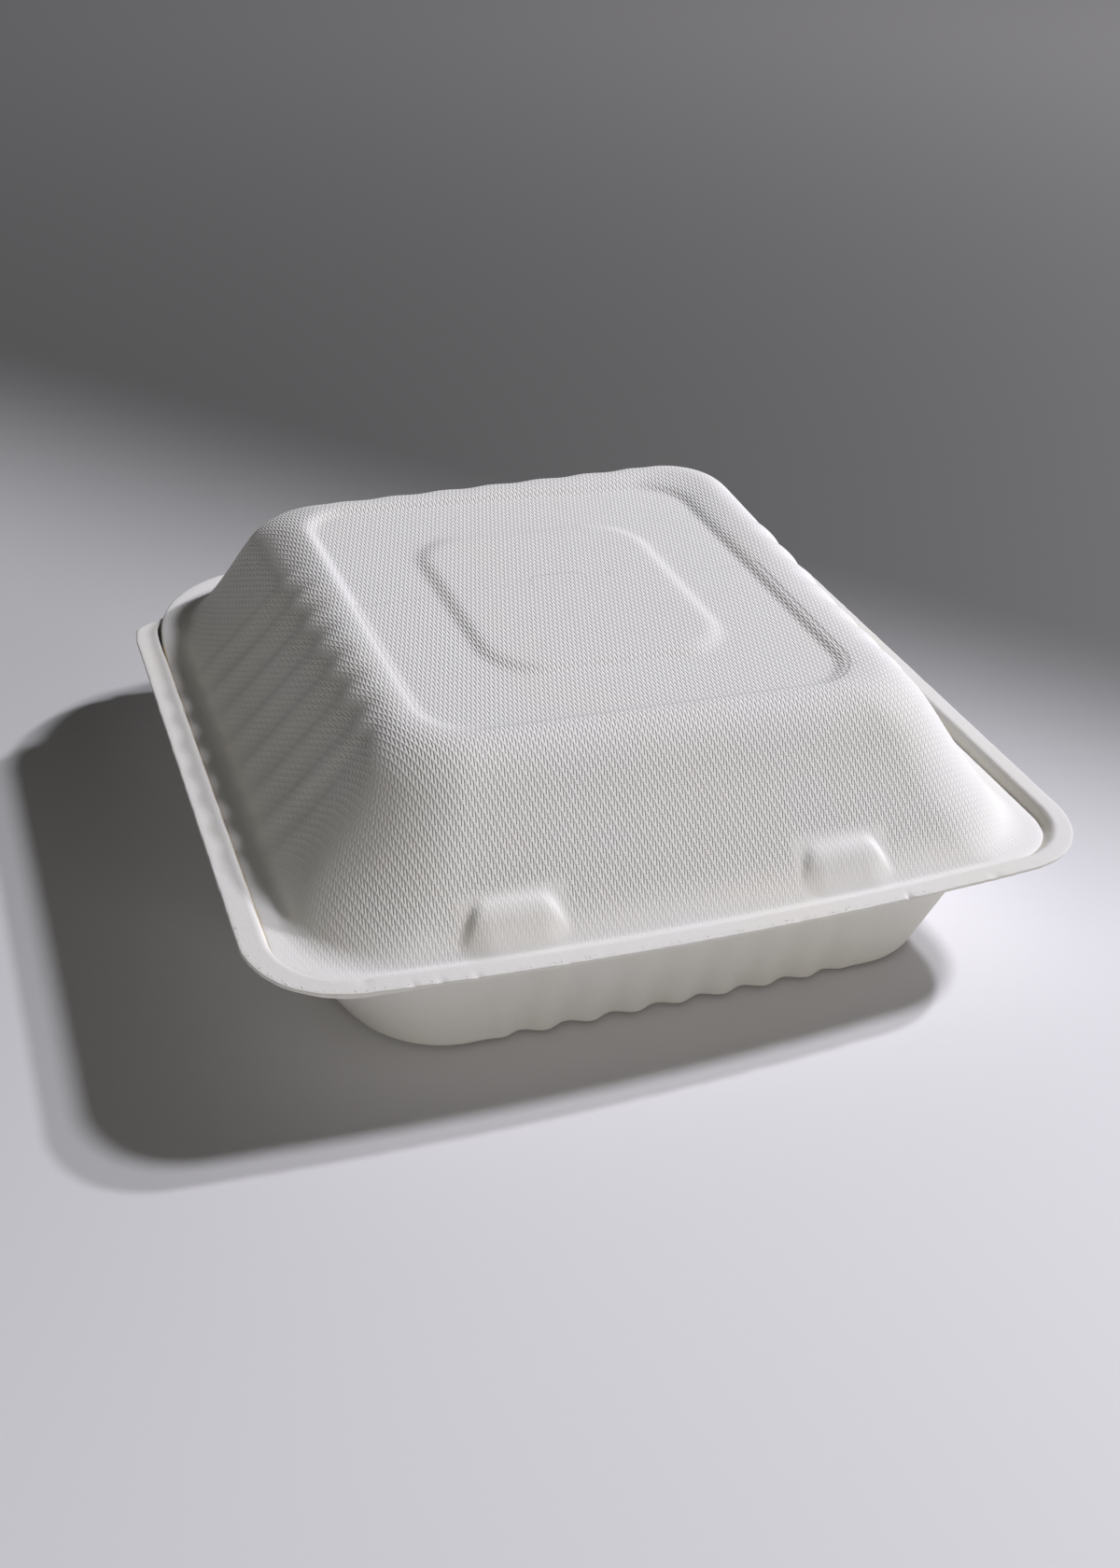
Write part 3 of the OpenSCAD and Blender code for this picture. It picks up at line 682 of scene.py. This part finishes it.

# %% [markdown]
# ## The lid piece
# The rows are turned into one closed skin, and the skin carries what its finish reads. The imprint
# is kept to the outer face and fades on the lugs and at the wall's foot, where the press smoothed
# them. A thin crease runs round the panel at the front, and a painted glow runs along the flange
# on the left: golden colour that stands in for light showing through the thin flange's edge. These
# could be painted; as numbers on the points they follow the shape.

# %% Where the imprint shows
EDGE_SKIN = 3  # rows of the flange's edge that stay smooth
SMOOTHED = 0.72
lid_x, lid_y, lid_z = lid_rows[..., 0], lid_rows[..., 1], lid_rows[..., 2]
row_number = np.arange(len(lid_rows))[:, None]
outside = row_number >= inside_rows + EDGE_SKIN
lug_zone = sum(ease((LUG_HALF - np.abs(lid_x - middle)) / 3) for middle in LUGS)
lug_zone = lug_zone * ease((-81.5 - lid_y) / 3)
foot_zone = 1 - ease((lid_z - FLANGE_Z - 1) / 10)
imprint = outside * np.clip((lid_z - FLANGE_Z - 0.9) / 0.5, 0, 1)
imprint *= (1 - SMOOTHED * lug_zone) * (1 - SMOOTHED * foot_zone)
side_wall = ease((np.abs(lid_x) - 66 - 14 * ease((-lid_y - 40) / 40)) / 22) * ease((lid_y + 88) / 25)
print("share of the lid with the imprint", imprint.mean().round(2))

# %% The crease round the panel and the painted glow line
CREASE_HALF, CREASE_R, NO_CREASE = RECESS_W + 0.6, 15, 9.0
# The painted glow: golden colour on the flange's first rows on the left, standing in for light through the
# thin flange.
AMBER, AMBER_ROWS, AMBER_Y, AMBER_RUN = 0.8, 1.6, 8, 90
qx = np.abs(lid_x - LEAN * 0.5) - (CREASE_HALF - CREASE_R)
qy = np.abs(lid_y - PANEL_Y) - (CREASE_HALF - CREASE_R)
round_corner = np.hypot(np.maximum(qx, 0), np.maximum(qy, 0))
from_line = round_corner + np.minimum(np.maximum(qx, qy), 0) - CREASE_R
crease = np.where((lid_y < 20) & outside & (lid_z > LID_Z - 4), from_line, NO_CREASE)
painted_glow = (AMBER * (np.abs(row_number - inside_rows) < AMBER_ROWS) * (lid_line.part == 3)
         * ease((AMBER_RUN - np.abs(lid_y - AMBER_Y)) / 20))
print("points on the amber line", int((painted_glow > 0).sum()))

# %% Build the lid
layers = wall_layers(lid_line, lid_rows)
layers["screen"] = ("FLOAT_VECTOR", screen)
for label, field in (("crease", crease), ("side_wall", side_wall), ("painted_glow", painted_glow),
                     ("imprint", imprint)):
    layers[label] = ("FLOAT", field)
lid_piece = grid_mesh("lid_shell", lid_rows[..., :3], layers)
run_tree(lid_piece, flutes, {"Depth": LID_FLUTE * MM, "Side pitch": SIDE_PITCH * MM,
                             "Back pitch": BACK_PITCH * MM, "Front pitch": BASE_PITCH * MM,
                             "Material": lid_finish})
set_outward(lid_piece)
print("lid faces", len(lid_piece.data.polygons))

# %% [markdown]
# ## The base
# The tray's wall flares up to a ledge, and the ledge rises to a flat rim that bows out at the
# front. It is built as the lid is: levels up the outside, over the rim, down into the tray.

# %% Rings of the base
RIM_TURN = (75, 81, 67, 74)  # where the rim's side profile turns into its back's
BASE_FLUTED = (-52, 50, 54)
base_line = Outline(dense(180, 1.3, [(-66, 30), (LUGS[1], 15)], 0.7), dense(122, 1.4), dense(134, 1.5),
                    26, 30)


def base_ring(w, f, b, rf, rb, z, bow=0.0, fluted=0.0, shift=0.0):
    """As a ring of the lid, but moved to the left by a share of the tray's shift."""
    p = base_line.ring(w, f, b, rf, rb, z, bow, TAPER, TRAY_SHIFT * shift, 0)
    share = base_line.flutes(w, f, b, rf, rb, *BASE_FLUTED, 1)
    return np.concatenate([p, (fluted * share)[:, None]], 1)


def rim(a, b):
    out = a.copy()
    out[:, :3] = joined(a[:, :3], b[:, :3], *RIM_TURN)
    return out


def rim_pair(e, eb, ef, back, r, rb, z, zb):
    """A ring of the rim: inset by e at the sides, eb at the back's sides and ef at the front; back
    and rb move the back edge and its radius, r the front's; z and zb are the two levels."""
    front, radius = RIM_FRONT - ef, RIM_R - r
    return rim(base_ring(RIM_W - e, front, RIM_BACK + back[0], radius, BACK_R + rb[0], z, BOW),
               base_ring(BACK_W - eb, front, RIM_BACK + back[1], radius, BACK_R + rb[1], zb, BOW))


def left_in(ring, amount):
    """Moves the left side of a ring inwards: there the rim's flat is wider and its slope steeper."""
    out = ring.copy()
    out[:, 0] += amount * ease((-out[:, 0] - 60) / 40) * ease((out[:, 1] + 101) / 12)
    return out


def wall_ring(k, t):
    """A ring on the tray's wall, a share k of the way up, inset for a skin of t."""
    return base_ring(mix(FOOT_W, TRAY_W, k) - t * 1.4, FOOT_FRONT - 1 - t * 1.2,
                     mix(FOOT_BACK, TRAY_BACK, k + 0.03) - t * 1.2,
                     mix(FOOT_R, TRAY_R, k) - t, mix(FOOT_R, TRAY_BACK_R, k) - t,
                     (CHANNEL_Z - 5) * (k + 0.033), bow=1.9, fluted=0.4, shift=0.8)


print("points in a ring of the base", base_line.count)

# %% Levels of the base
base_levels = [
    (base_ring(3, 3, 3, 1, 1, 0, shift=1), 1),
    (base_ring(40, 42, 40, 12, 12, 0, shift=1), 1),
    (base_ring(FOOT_W - 4, FOOT_FRONT - 4, FOOT_BACK - 5, FOOT_R - 3, FOOT_R - 3, 0, fluted=0.2,
               shift=1), 2),
    (base_ring(FOOT_W - 2.4, FOOT_FRONT - 2.3, FOOT_BACK - 3.4, FOOT_R - 2, FOOT_R - 2, 0,
               fluted=0.6, shift=1), 3),
    (base_ring(FOOT_W + 0.1, FOOT_FRONT + 0.1, FOOT_BACK + 0.1, FOOT_R, FOOT_R, 1.3, fluted=1,
               shift=1), 4),
    (base_ring(FOOT_W + 1.9, FOOT_FRONT, FOOT_BACK + 1.4, FOOT_R + 0.8, FOOT_R + 0.8, 3.4, bow=0.4,
               fluted=1, shift=1), 3),
    (wall_ring(0.53, 0), 7),
    (base_ring(TRAY_W - 0.6, TRAY_FRONT - 0.6, TRAY_BACK - 1, TRAY_R - 0.5, TRAY_BACK_R,
               CHANNEL_Z - 5, bow=3.6, fluted=0.15, shift=0.5), 5),
    (base_ring(TRAY_W + 0.8, TRAY_FRONT, TRAY_BACK, TRAY_R - 2, TRAY_BACK_R, CHANNEL_Z - 2.2,
               bow=4.1, shift=0.3), 3),
    (rim_pair(6, 2, 5.9, (-6.2, -6.2), 5, (-3.4, -3.4), CHANNEL_Z - WALL, CHANNEL_Z - WALL), 3),
    (rim_pair(4.8, 1.6, 4.6, (-4.2, -4.2), 4.8, (-2.4, -2.4), RIM_Z - 1.7, FOLD_Z - 1.8), 3),
    (rim_pair(0.3, 0.4, 0.3, (3, -0.4), 0, (4, 0), RIM_Z - 1.5, FOLD_Z - 1.7), 3),
    (rim_pair(0, 0, 0, (3, 0), 0, (4, 0), RIM_Z - 0.4, FOLD_Z - 0.7), 2),
    (rim_pair(0.12, 0.12, 0.12, (2.88, -0.1), 0.1, (3.9, -0.1), RIM_Z - 0.03,
              FOLD_Z - LAY / 2 - 0.03), 2),
    (rim_pair(0.55, 0.5, 0.55, (2.45, -0.4), 0.5, (3.5, -0.5), RIM_Z, FOLD_Z - LAY / 2), 2),
    (left_in(rim_pair(RIM_FLAT - 0.8, 1.6, RIM_FLAT - 0.9, (-1.0, -1.8), RIM_FLAT - 0.8,
                      (-0.7, -1.3), RIM_Z, FOLD_Z - LAY / 2), 1.2), 2),
    (left_in(rim_pair(RIM_FLAT + 0.1, 2.1, RIM_FLAT - 0.1, (-1.8, -2.4), RIM_FLAT, (-1.4, -1.9),
                      RIM_Z, FOLD_Z - LAY / 2), 1.2), 3),
    (rim_pair(CHANNEL_SIDE + 1.1, 4.2, CHANNEL_END + 0.8, (-4.6, -4.6), 7.2, (-3.4, -3.4),
              CHANNEL_Z - 0.2, CHANNEL_Z - 0.2), 4),
    (rim(base_ring(TRAY_W - 0.8, TRAY_FRONT - 1.2, TRAY_BACK - 1.4, TRAY_R - 3, TRAY_BACK_R - 1,
                   CHANNEL_Z, bow=4.2),
         base_ring(BACK_W - 5.4, TRAY_FRONT - 1.2, TRAY_BACK - 1.4, TRAY_R - 3, TRAY_BACK_R - 1,
                   CHANNEL_Z - 0.1, bow=4.2)), 3),
    (base_ring(TRAY_W - 1.8, TRAY_FRONT - 2, TRAY_BACK - 2.3, TRAY_R - 1.5, TRAY_BACK_R - 1,
               CHANNEL_Z - 5, bow=3.6, fluted=0.15, shift=0.5), 4),
    (wall_ring(0.53, WALL), 6),
    (base_ring(FOOT_W + 1.2, FOOT_FRONT - 1.3, FOOT_BACK + 0.4, FOOT_R - 0.2, FOOT_R - 0.2, 4.4,
               bow=0.4, fluted=1, shift=1), 4),
    (base_ring(FOOT_W - 1, FOOT_FRONT - 2.3, FOOT_BACK - 1.4, FOOT_R - 1.2, FOOT_R - 1.2, 2,
               fluted=0.7, shift=1), 2),
    (base_ring(FOOT_W - 4.5, FOOT_FRONT - 5.5, FOOT_BACK - 5.1, FOOT_R - 3, FOOT_R - 3, WALL,
               fluted=0.3, shift=1), 2),
    (base_ring(FOOT_W - 12, FOOT_FRONT - 13, FOOT_BACK - 12, FOOT_R - 8, FOOT_R - 8, WALL,
               shift=1), 1),
    (base_ring(3, 3, 3, 1, 1, WALL, shift=1), 1),
]
base_rows = mid_curve([r for r, _ in base_levels], [s for _, s in base_levels])
print("base rows", len(base_rows), "height", base_rows[..., 2].max().round(2))

# %% [markdown]
# ## The trimmed rim
# A punch trims the rim after drying and leaves an edge that wanders a little, with a few nicks. The
# corner at the front left hangs a little lower, and a short stretch of the front channel has sunk
# away from the flange. Each is a small push on the points near it, so the skin stays closed.

# %% An edge that wanders
base_row = np.arange(len(base_rows))[:, None]
edge = (base_rows[..., 2] > RIM_Z - 2.2) & (base_row > 24) & (base_row < 52)
WANDER = ((41, 1.0), (67, 2.1), (113, 0.4), (191, 5.0))  # waves round the rim, and their starts
WANDER_BY, TRIM = 0.03, 0.12
around = np.arctan2(base_rows[..., 1], base_rows[..., 0])
far = np.hypot(base_rows[..., 0], base_rows[..., 1])
out_way = base_rows[..., :2] / far[..., None]
rough = sum(WANDER_BY * np.sin(k * around + start) for k, start in WANDER)
base_rows[..., :2] += out_way * (np.where(edge, rough - TRIM, 0) * ease((far - 60) / 30))[..., None]
print("points on the trimmed edge", int(edge.sum()))

# %% Nicks, the low corner and the sunk stretch
# Each nick is a place, a depth and a width.
NICKS = ((-82.4, -101.6, 0.35, 0.8), (-75.6, -102.2, 0.3, 0.8), (-66.7, -102.9, 0.35, 0.8),
         (-43.6, -104.6, 0.3, 0.7), (-34.1, -105.2, 0.5, 0.9), (53.0, -103.6, 0.9, 0.7),
         (-116.0, -48.0, 0.5, 1.0), (-106.0, 84.0, 1.1, 2.0), (20.0, -105.4, 0.4, 1.0),
         (81.0, -101.9, 0.5, 1.1), (-93.0, -96.5, 0.4, 1.5))
CORNER_X, CORNER_Y, CORNER_DROP, CORNER_REACH = -92, -94, 2.1, 28
SUNK_LEFT, SUNK_RIGHT, SUNK_BY = -19, 9, 2.2
for nick_x, nick_y, deep, wide in NICKS:
    off = ((base_rows[..., 0] - nick_x) / wide) ** 2 + ((base_rows[..., 1] - nick_y) / wide) ** 2
    near = np.exp(-off) * edge * deep
    base_rows[..., 2] -= near
    base_rows[..., :2] -= out_way * (near * 0.8)[..., None]
skirt = (base_row < 36) & (base_rows[..., 2] > CHANNEL_Z - 1.6) & (base_rows[..., 2] < RIM_Z - 0.6)
off = (base_rows[..., 0] - CORNER_X) ** 2 + (base_rows[..., 1] - CORNER_Y) ** 2
base_rows[..., 2] -= np.where(skirt, CORNER_DROP * np.exp(-off / CORNER_REACH ** 2), 0)
sunk = ease((base_rows[..., 0] - SUNK_LEFT) / 5) * ease((SUNK_RIGHT - base_rows[..., 0]) / 5)
sunk = sunk * ease((base_rows[..., 1] + 98.6) / 1.6) * ease((-91 - base_rows[..., 1]) / 2)
base_rows[..., 2] -= SUNK_BY * sunk * (base_row > 40)
print("nicks", len(NICKS))

# %% Build the base
base_layers = wall_layers(base_line, base_rows)
cream = (ease((RIM_Z - 0.3 - base_rows[..., 2]) / 1.2) * (base_row > 44)
         * ease((base_rows[..., 2] - CHANNEL_Z + 3) / 2))
base_layers["cream"] = ("FLOAT", cream)
base_piece = grid_mesh("base_shell", base_rows[..., :3], base_layers)
run_tree(base_piece, flutes, {"Depth": BASE_FLUTE * MM, "Side pitch": BASE_PITCH * MM,
                              "Back pitch": BASE_PITCH * MM, "Front pitch": BASE_PITCH * MM,
                              "Material": base_finish})

# %% [markdown]
# ## Ribs and tongues
# Two ribs divide the tray. They are pressed upward from its floor, so each is hollow below. A rib
# has the same section all along, which makes it a prism, with its ends on the slope of the tray's
# wall. A boolean joins the prisms to the tray and takes the hollows out from below. The tongues
# that stand in the lid's lugs are thin curved plates, and they lean back as the lugs do.

# %% Sections and ends of the ribs
half_rib = [(9.8, 0.5), (8.4, 1.2), (7.1, 1.9), (6.1, 2.9), (5.3, 4.4), (4.8, 6.5), (2.9, RIB_Z - 2.8),
            (2.6, RIB_Z - 1.5), (2.0, RIB_Z - 0.6), (1.1, RIB_Z - 0.1), (0, RIB_Z)]
section = np.array(half_rib + [(-t, z) for t, z in half_rib[-2::-1]])
half_hollow = [(RIB_FOOT * 0.66 - WALL, -1.0), (RIB_CREST + 1.2 - WALL, RIB_Z - 3.2),
               (RIB_CREST - 0.9, RIB_Z - 1.5)]
hollow = np.array(half_hollow + [(-t, z) for t, z in half_hollow[::-1]])
HOLLOW_SIDE, HOLLOW_BACK = 73, 69
outer_wall, MID_ROW = base_rows[:24], 12


def wall_place(side, axis, other, at):
    """The wall's middle surface on one side: its place for a list of heights."""
    column = np.flatnonzero(base_line.part == side)
    column = column[np.argmin(np.abs(outer_wall[MID_ROW, column, other] - at))]
    inward = -0.5 * np.sign(outer_wall[MID_ROW, column, axis])
    return lambda z: np.interp(z, outer_wall[:, column, 2], outer_wall[:, column, axis]) + inward


def prism(name, loop, along, across, start, end):
    """A section swept straight from start to end, each a place for every height."""
    stations = np.linspace(0, 1, 9)[:, None]
    rows = np.zeros((len(stations), len(loop), 3))
    z = loop[:, 1]
    rows[..., along] = start(z) + (end(z) - start(z)) * stations
    rows[..., 1 - along] = across + loop[:, 0]
    rows[..., 2] = z
    made = grid_mesh(name, rows, {})
    set_outward(made)
    return made


def fixed(value):
    return lambda z: np.full(len(z), float(value))


print("points of a rib's section", len(section), "and of its hollow", len(hollow))

# %% Join the ribs to the tray
def combine(piece, tool, operation):
    modifier = piece.modifiers.new("join", "BOOLEAN")
    modifier.operation, modifier.object, modifier.solver = operation, tool, "EXACT"
    keep_result(piece, modifier)
    bpy.data.objects.remove(tool)


left, right, back = wall_place(3, 0, 1, RIB_Y), wall_place(1, 0, 1, RIB_Y), wall_place(2, 1, 0, RIB_X)
middle = fixed(RIB_Y)
combine(base_piece, prism("wide_rib", section, 0, RIB_Y, left, right), "UNION")
combine(base_piece, prism("short_rib", section, 1, RIB_X, middle, back), "UNION")
combine(base_piece, prism("wide_hollow", hollow, 0, RIB_Y, fixed(-HOLLOW_SIDE), fixed(HOLLOW_SIDE)),
        "DIFFERENCE")
combine(base_piece, prism("short_hollow", hollow, 1, RIB_X, middle, fixed(HOLLOW_BACK)), "DIFFERENCE")
set_outward(base_piece)
base_piece.data.set_sharp_from_angle(angle=math.radians(42))
print("base faces", len(base_piece.data.polygons), [m.name for m in base_piece.data.materials])


# %% Tongues
TONGUE_TALL, TONGUE_THICK, TONGUE_CURL = 8.9, 1.2, 3.4


def tongue(middle, name):
    """A curved plate that leans back, narrows upwards and rounds off at its top."""
    rows = []
    u = np.linspace(-1, 1, 25)
    plan = TONGUE_CURL * np.abs(u) ** 5
    for rise in (*np.linspace(0, 0.9, 9), 0.96, 0.99, 1.0):
        tip = max(0, (rise - 0.9) / 0.1) ** 2
        half = LUG_HALF - 3.0 - 5.0 * rise - 1.5 * tip
        front = LUG_Y + 3.0 + 6.3 * rise + 0.5 * tip
        thick = TONGUE_THICK - 8 * max(0, rise - 0.95)
        face = np.stack([middle + half * u, front + plan], 1)
        rear = np.stack([middle + (half - thick) * u[::-1], front + thick + plan[::-1]], 1)
        loop = np.concatenate([face, rear])
        z = np.full((len(loop), 1), CHANNEL_Z - 0.6 + TONGUE_TALL * rise)
        rows.append(np.concatenate([loop, z], 1))
    made = grid_mesh(name, np.stack(rows), {})
    made.data.materials.append(base_finish)
    set_outward(made)
    return made


tongues = [tongue(LUGS[0], "tongue_left"), tongue(LUGS[1], "tongue_right")]
for made in tongues:
    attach(made, "base")
    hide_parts("base_tray")
print("tongues", [len(m.data.polygons) for m in tongues])

# %% [markdown]
# ## Flakes on the rim
# Where the rim was trimmed, small flakes of pulp stand up from its outer edge, most of them at the
# front left. They are many and alike, so a node tree scatters one thin flake over a narrow strip
# that follows the edge, each turned and sized at random from a fixed seed.


# %% A tree that scatters flakes
def flake_tree():
    group, t, given = new_group("rim_flakes", (
        ("Density", "Float", 1.0), ("Length", "Float", 0.001), ("Seed", "Int", 0)))
    seed = given["Seed"]
    spots = t.node("GeometryNodeDistributePointsOnFaces", Mesh=given["Geometry"],
                   Density=given["Density"], Seed=seed)
    ball = t.node("GeometryNodeMeshIcoSphere", Radius=1.0, Subdivisions=2)
    flake = t.node("GeometryNodeTransform", Geometry=ball.outputs["Mesh"], Scale=(1.0, 0.32, 0.09))

    def chance(kind, output, **limits):
        made = t.node("FunctionNodeRandomValue", {"data_type": kind}, Seed=seed, **limits)
        return [o for o in made.outputs if o.enabled and o.type == output][0]

    turned = chance("FLOAT_VECTOR", "VECTOR", s0=(-0.5, -0.35, -3.14), s1=(0.5, 0.35, 3.14))
    grown = Sock(t, chance("FLOAT", "VALUE", s2=0.3, s3=1.0)) * Sock(t, given["Length"])
    placed = t.node("GeometryNodeInstanceOnPoints", Points=spots.outputs["Points"],
                    Instance=flake.outputs[0], Rotation=turned, Scale=grown)
    end_group(t, placed.outputs[0], given["Material"])
    return group


# %% Scatter them over a strip along the edge
FLAKES_PER_M2, FLAKE_LONG, FLAKE_SEED = 1.1e6, 0.6, 7
STRIP_INSETS, STRIP_LIFT = (0.62, 1.2), 0.02
edge_ring = base_rows[int(np.argmax(base_rows[:, 0, 2] > RIM_Z - 0.06)), :, :3]
away = edge_ring[:, :2] / np.hypot(edge_ring[:, 0], edge_ring[:, 1])[:, None]
keep = np.flatnonzero((edge_ring[:, 1] < -70) & (edge_ring[:, 0] < 70))
half_way = base_line.count // 2
order = np.concatenate([keep[keep > half_way], keep[keep <= half_way]])
strip_points = [(*(edge_ring[k, :2] - away[k] * inset) * MM, (edge_ring[k, 2] + STRIP_LIFT) * MM)
                for k in order for inset in STRIP_INSETS]
strip_faces = [(2 * k, 2 * k + 2, 2 * k + 3, 2 * k + 1) for k in range(len(order) - 1)]
strip_mesh = bpy.data.meshes.new("rim_flakes")
strip_mesh.from_pydata(strip_points, [], strip_faces)
flakes = add_object("rim_flakes", strip_mesh)
run_tree(flakes, flake_tree(), {"Density": FLAKES_PER_M2, "Length": FLAKE_LONG * MM,
                                "Seed": FLAKE_SEED, "Material": base_finish})
flakes.data.shade_smooth()
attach(flakes, "base")
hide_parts("base_tray")
print("faces of the flakes", len(flakes.data.polygons))

# %% [markdown]
# ## The fold
# At the back, lid and base are one strip of fibre, creased so that the lid can swing. It is a half
# round along the back edge, built with the lid closed.

# %% Build the fold
turn = np.radians(np.linspace(-90, 90, 13))
half_round = np.stack([np.cos(turn), np.sin(turn)], 1)
loop = np.concatenate([half_round * FOLD_R, half_round[::-1] * FOLD_INNER])
stations = np.linspace(-FOLD_HALF, FOLD_HALF, 93)
strip = np.zeros((len(stations), len(loop), 3))
strip[..., 0] = stations[:, None]
strip[..., 1] = RIM_BACK + loop[None, :, 0]
strip[..., 2] = FOLD_Z + loop[None, :, 1]
fold_piece = grid_mesh("fold_strip", strip, {})
fold_piece.data.materials.append(fold_finish)
set_outward(fold_piece)
print("fold faces", len(fold_piece.data.polygons))

# %% [markdown]
# ## What moves with what
# The lid, the base, the tongues and the flakes are each tied to a body of the construction model and
# stand for one of its nodes. The fold belongs to both bodies; it is tied to neither and stays as built.

# %% Tie the pieces to the frame
for piece, body, node, slot in ((lid_piece, "lid", "lid", "lid_fibre"),
                                (base_piece, "base", "base_tray", "base_fibre")):
    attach(piece, body)
    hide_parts(node)
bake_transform(fold_piece)
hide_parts("hinge_fold")
print("pieces tied", 2 + len(tongues) + 2)

# %% [markdown]
# ## Floor, light and camera
# The box stands on a plain pale sheet. Towards the back the sheet's colour is painted shade: a
# falloff of the light, and the painted shadow of something out of view across it. Two small lamps
# stand to its right and a little behind, one above the other, as a window's two panes would, and
# their shadows end one after the other. Weak wide lamps from the front and the left keep the shaded
# walls readable. The painted shade is the sheet's colour as the camera sees it, so it takes no light
# from the box, and the sheet keeps the box's shadow.

# %% Floor
SHEET = 6.0  # half of its side, in metres
# Painted shade on the sheet: PAINTED_FALLOFF a falloff to the back left, PAINTED_SHADOW a shadow band,
# PAINTED_FAR_SHADE beyond it.
PALE, PAINTED_FALLOFF = (0.71, 0.702, 0.722), (0.50, 0.50, 0.505)
PAINTED_SHADOW, PAINTED_FAR_SHADE = (0.092, 0.091, 0.088), (0.17, 0.166, 0.163)
floor_mesh = bpy.data.meshes.new("floor")
floor_mesh.from_pydata([(-SHEET, -SHEET, 0), (SHEET, -SHEET, 0), (SHEET, SHEET, 0), (-SHEET, SHEET, 0)],
                       [], [(0, 1, 2, 3)])
floor = add_object("floor", floor_mesh)
paper = bpy.data.materials.new("floor_paper")
paper.use_nodes = True
paper.node_tree.nodes.clear()
t = Tree(paper.node_tree)
spot = t.node("ShaderNodeTexCoord").outputs["Object"]
xyz = t.node("ShaderNodeSeparateXYZ", Vector=spot)
east, north = Sock(t, xyz.outputs[0]), Sock(t, xyz.outputs[1])
seen = t.value("ShaderNodeLightPath")
# Painted falloff and painted shadow band, seen only by camera rays.
falloff_shade = (north * 0.9 - east * 0.45).smooth(-0.14, 0.24) * seen
dark = ((north + east * 0.958 - 0.200) / 1.385).smooth(-0.13, 0.075) * seen
beyond = north.smooth(0.2, 1.3) * seen
tone = (*PALE, 1)
for factor, colour in ((falloff_shade, PAINTED_FALLOFF), (dark, PAINTED_SHADOW), (beyond * dark, PAINTED_FAR_SHADE)):
    tone = t.colours(factor, tone, (*colour, 1))
sheet = t.node("ShaderNodeBsdfPrincipled", Roughness=0.7, Base_Color=tone)
t.link(sheet.outputs[0], t.node("ShaderNodeOutputMaterial").inputs[0])
floor_mesh.materials.append(paper)
print("floor", len(floor_mesh.polygons), "face")


# %% Lamps and world
def lamp(name, towards, distance, size, watts, colour):
    data = bpy.data.lights.new(name, "AREA")
    data.shape, data.size, data.energy, data.color = "DISK", size, watts, colour
    made = add_object(name, data)
    way = Vector(towards).normalized()
    made.location = way * distance
    made.rotation_euler = way.to_track_quat("Z", "Y").to_euler()


COOL, CREAM, WARM = (0.94, 0.935, 1.0), (1.0, 0.97, 0.89), (1.0, 0.97, 0.88)
lamp("key_low", (1.22, 0.28, 1.0), 2.8, 0.11, 41.5, COOL)
lamp("key_high", (1.0, 0.13, 1.0), 2.8, 0.28, 56.0, COOL)
lamp("front_fill", (0.24, -1.0, 0.2), 2.2, 1.0, 10.9, CREAM)
lamp("left_fill", (-1.0, -0.2, 0.8), 2.2, 1.4, 2.6, WARM)
lamp("left_low", (-1.0, -0.35, 0.25), 2.2, 1.2, 3.2, WARM)
world = bpy.data.worlds.new("studio")
world.use_nodes = True
sky = world.node_tree.nodes["Background"].inputs
sky["Color"].default_value, sky["Strength"].default_value = (0.86, 0.87, 0.92, 1), 0.02
bpy.context.scene.world = world
bpy.context.scene.view_settings.view_transform = "Standard"

# %% Camera
EYE, AIM, ROLL = (-191.17, -392.40, 311.22), (8.36, 20.90, -3.96), 6.8
FOCAL_PX, FRAME_PX, SENSOR = 1877.97, 1680, 36  # of the picture's long side
eye, aim = Vector(EYE) * MM, Vector(AIM) * MM
camera_data = bpy.data.cameras.new("camera")
camera_data.sensor_width = SENSOR
camera_data.lens = SENSOR * FOCAL_PX / FRAME_PX
camera = add_object("camera", camera_data)
camera.location = eye
camera.rotation_mode = "QUATERNION"
level = (aim - eye).to_track_quat("-Z", "Y")
camera.rotation_quaternion = level @ Matrix.Rotation(math.radians(ROLL), 4, "Z").to_quaternion()
bpy.context.scene.camera = camera
print("camera", [round(v, 3) for v in eye], "lens", round(camera_data.lens, 2))
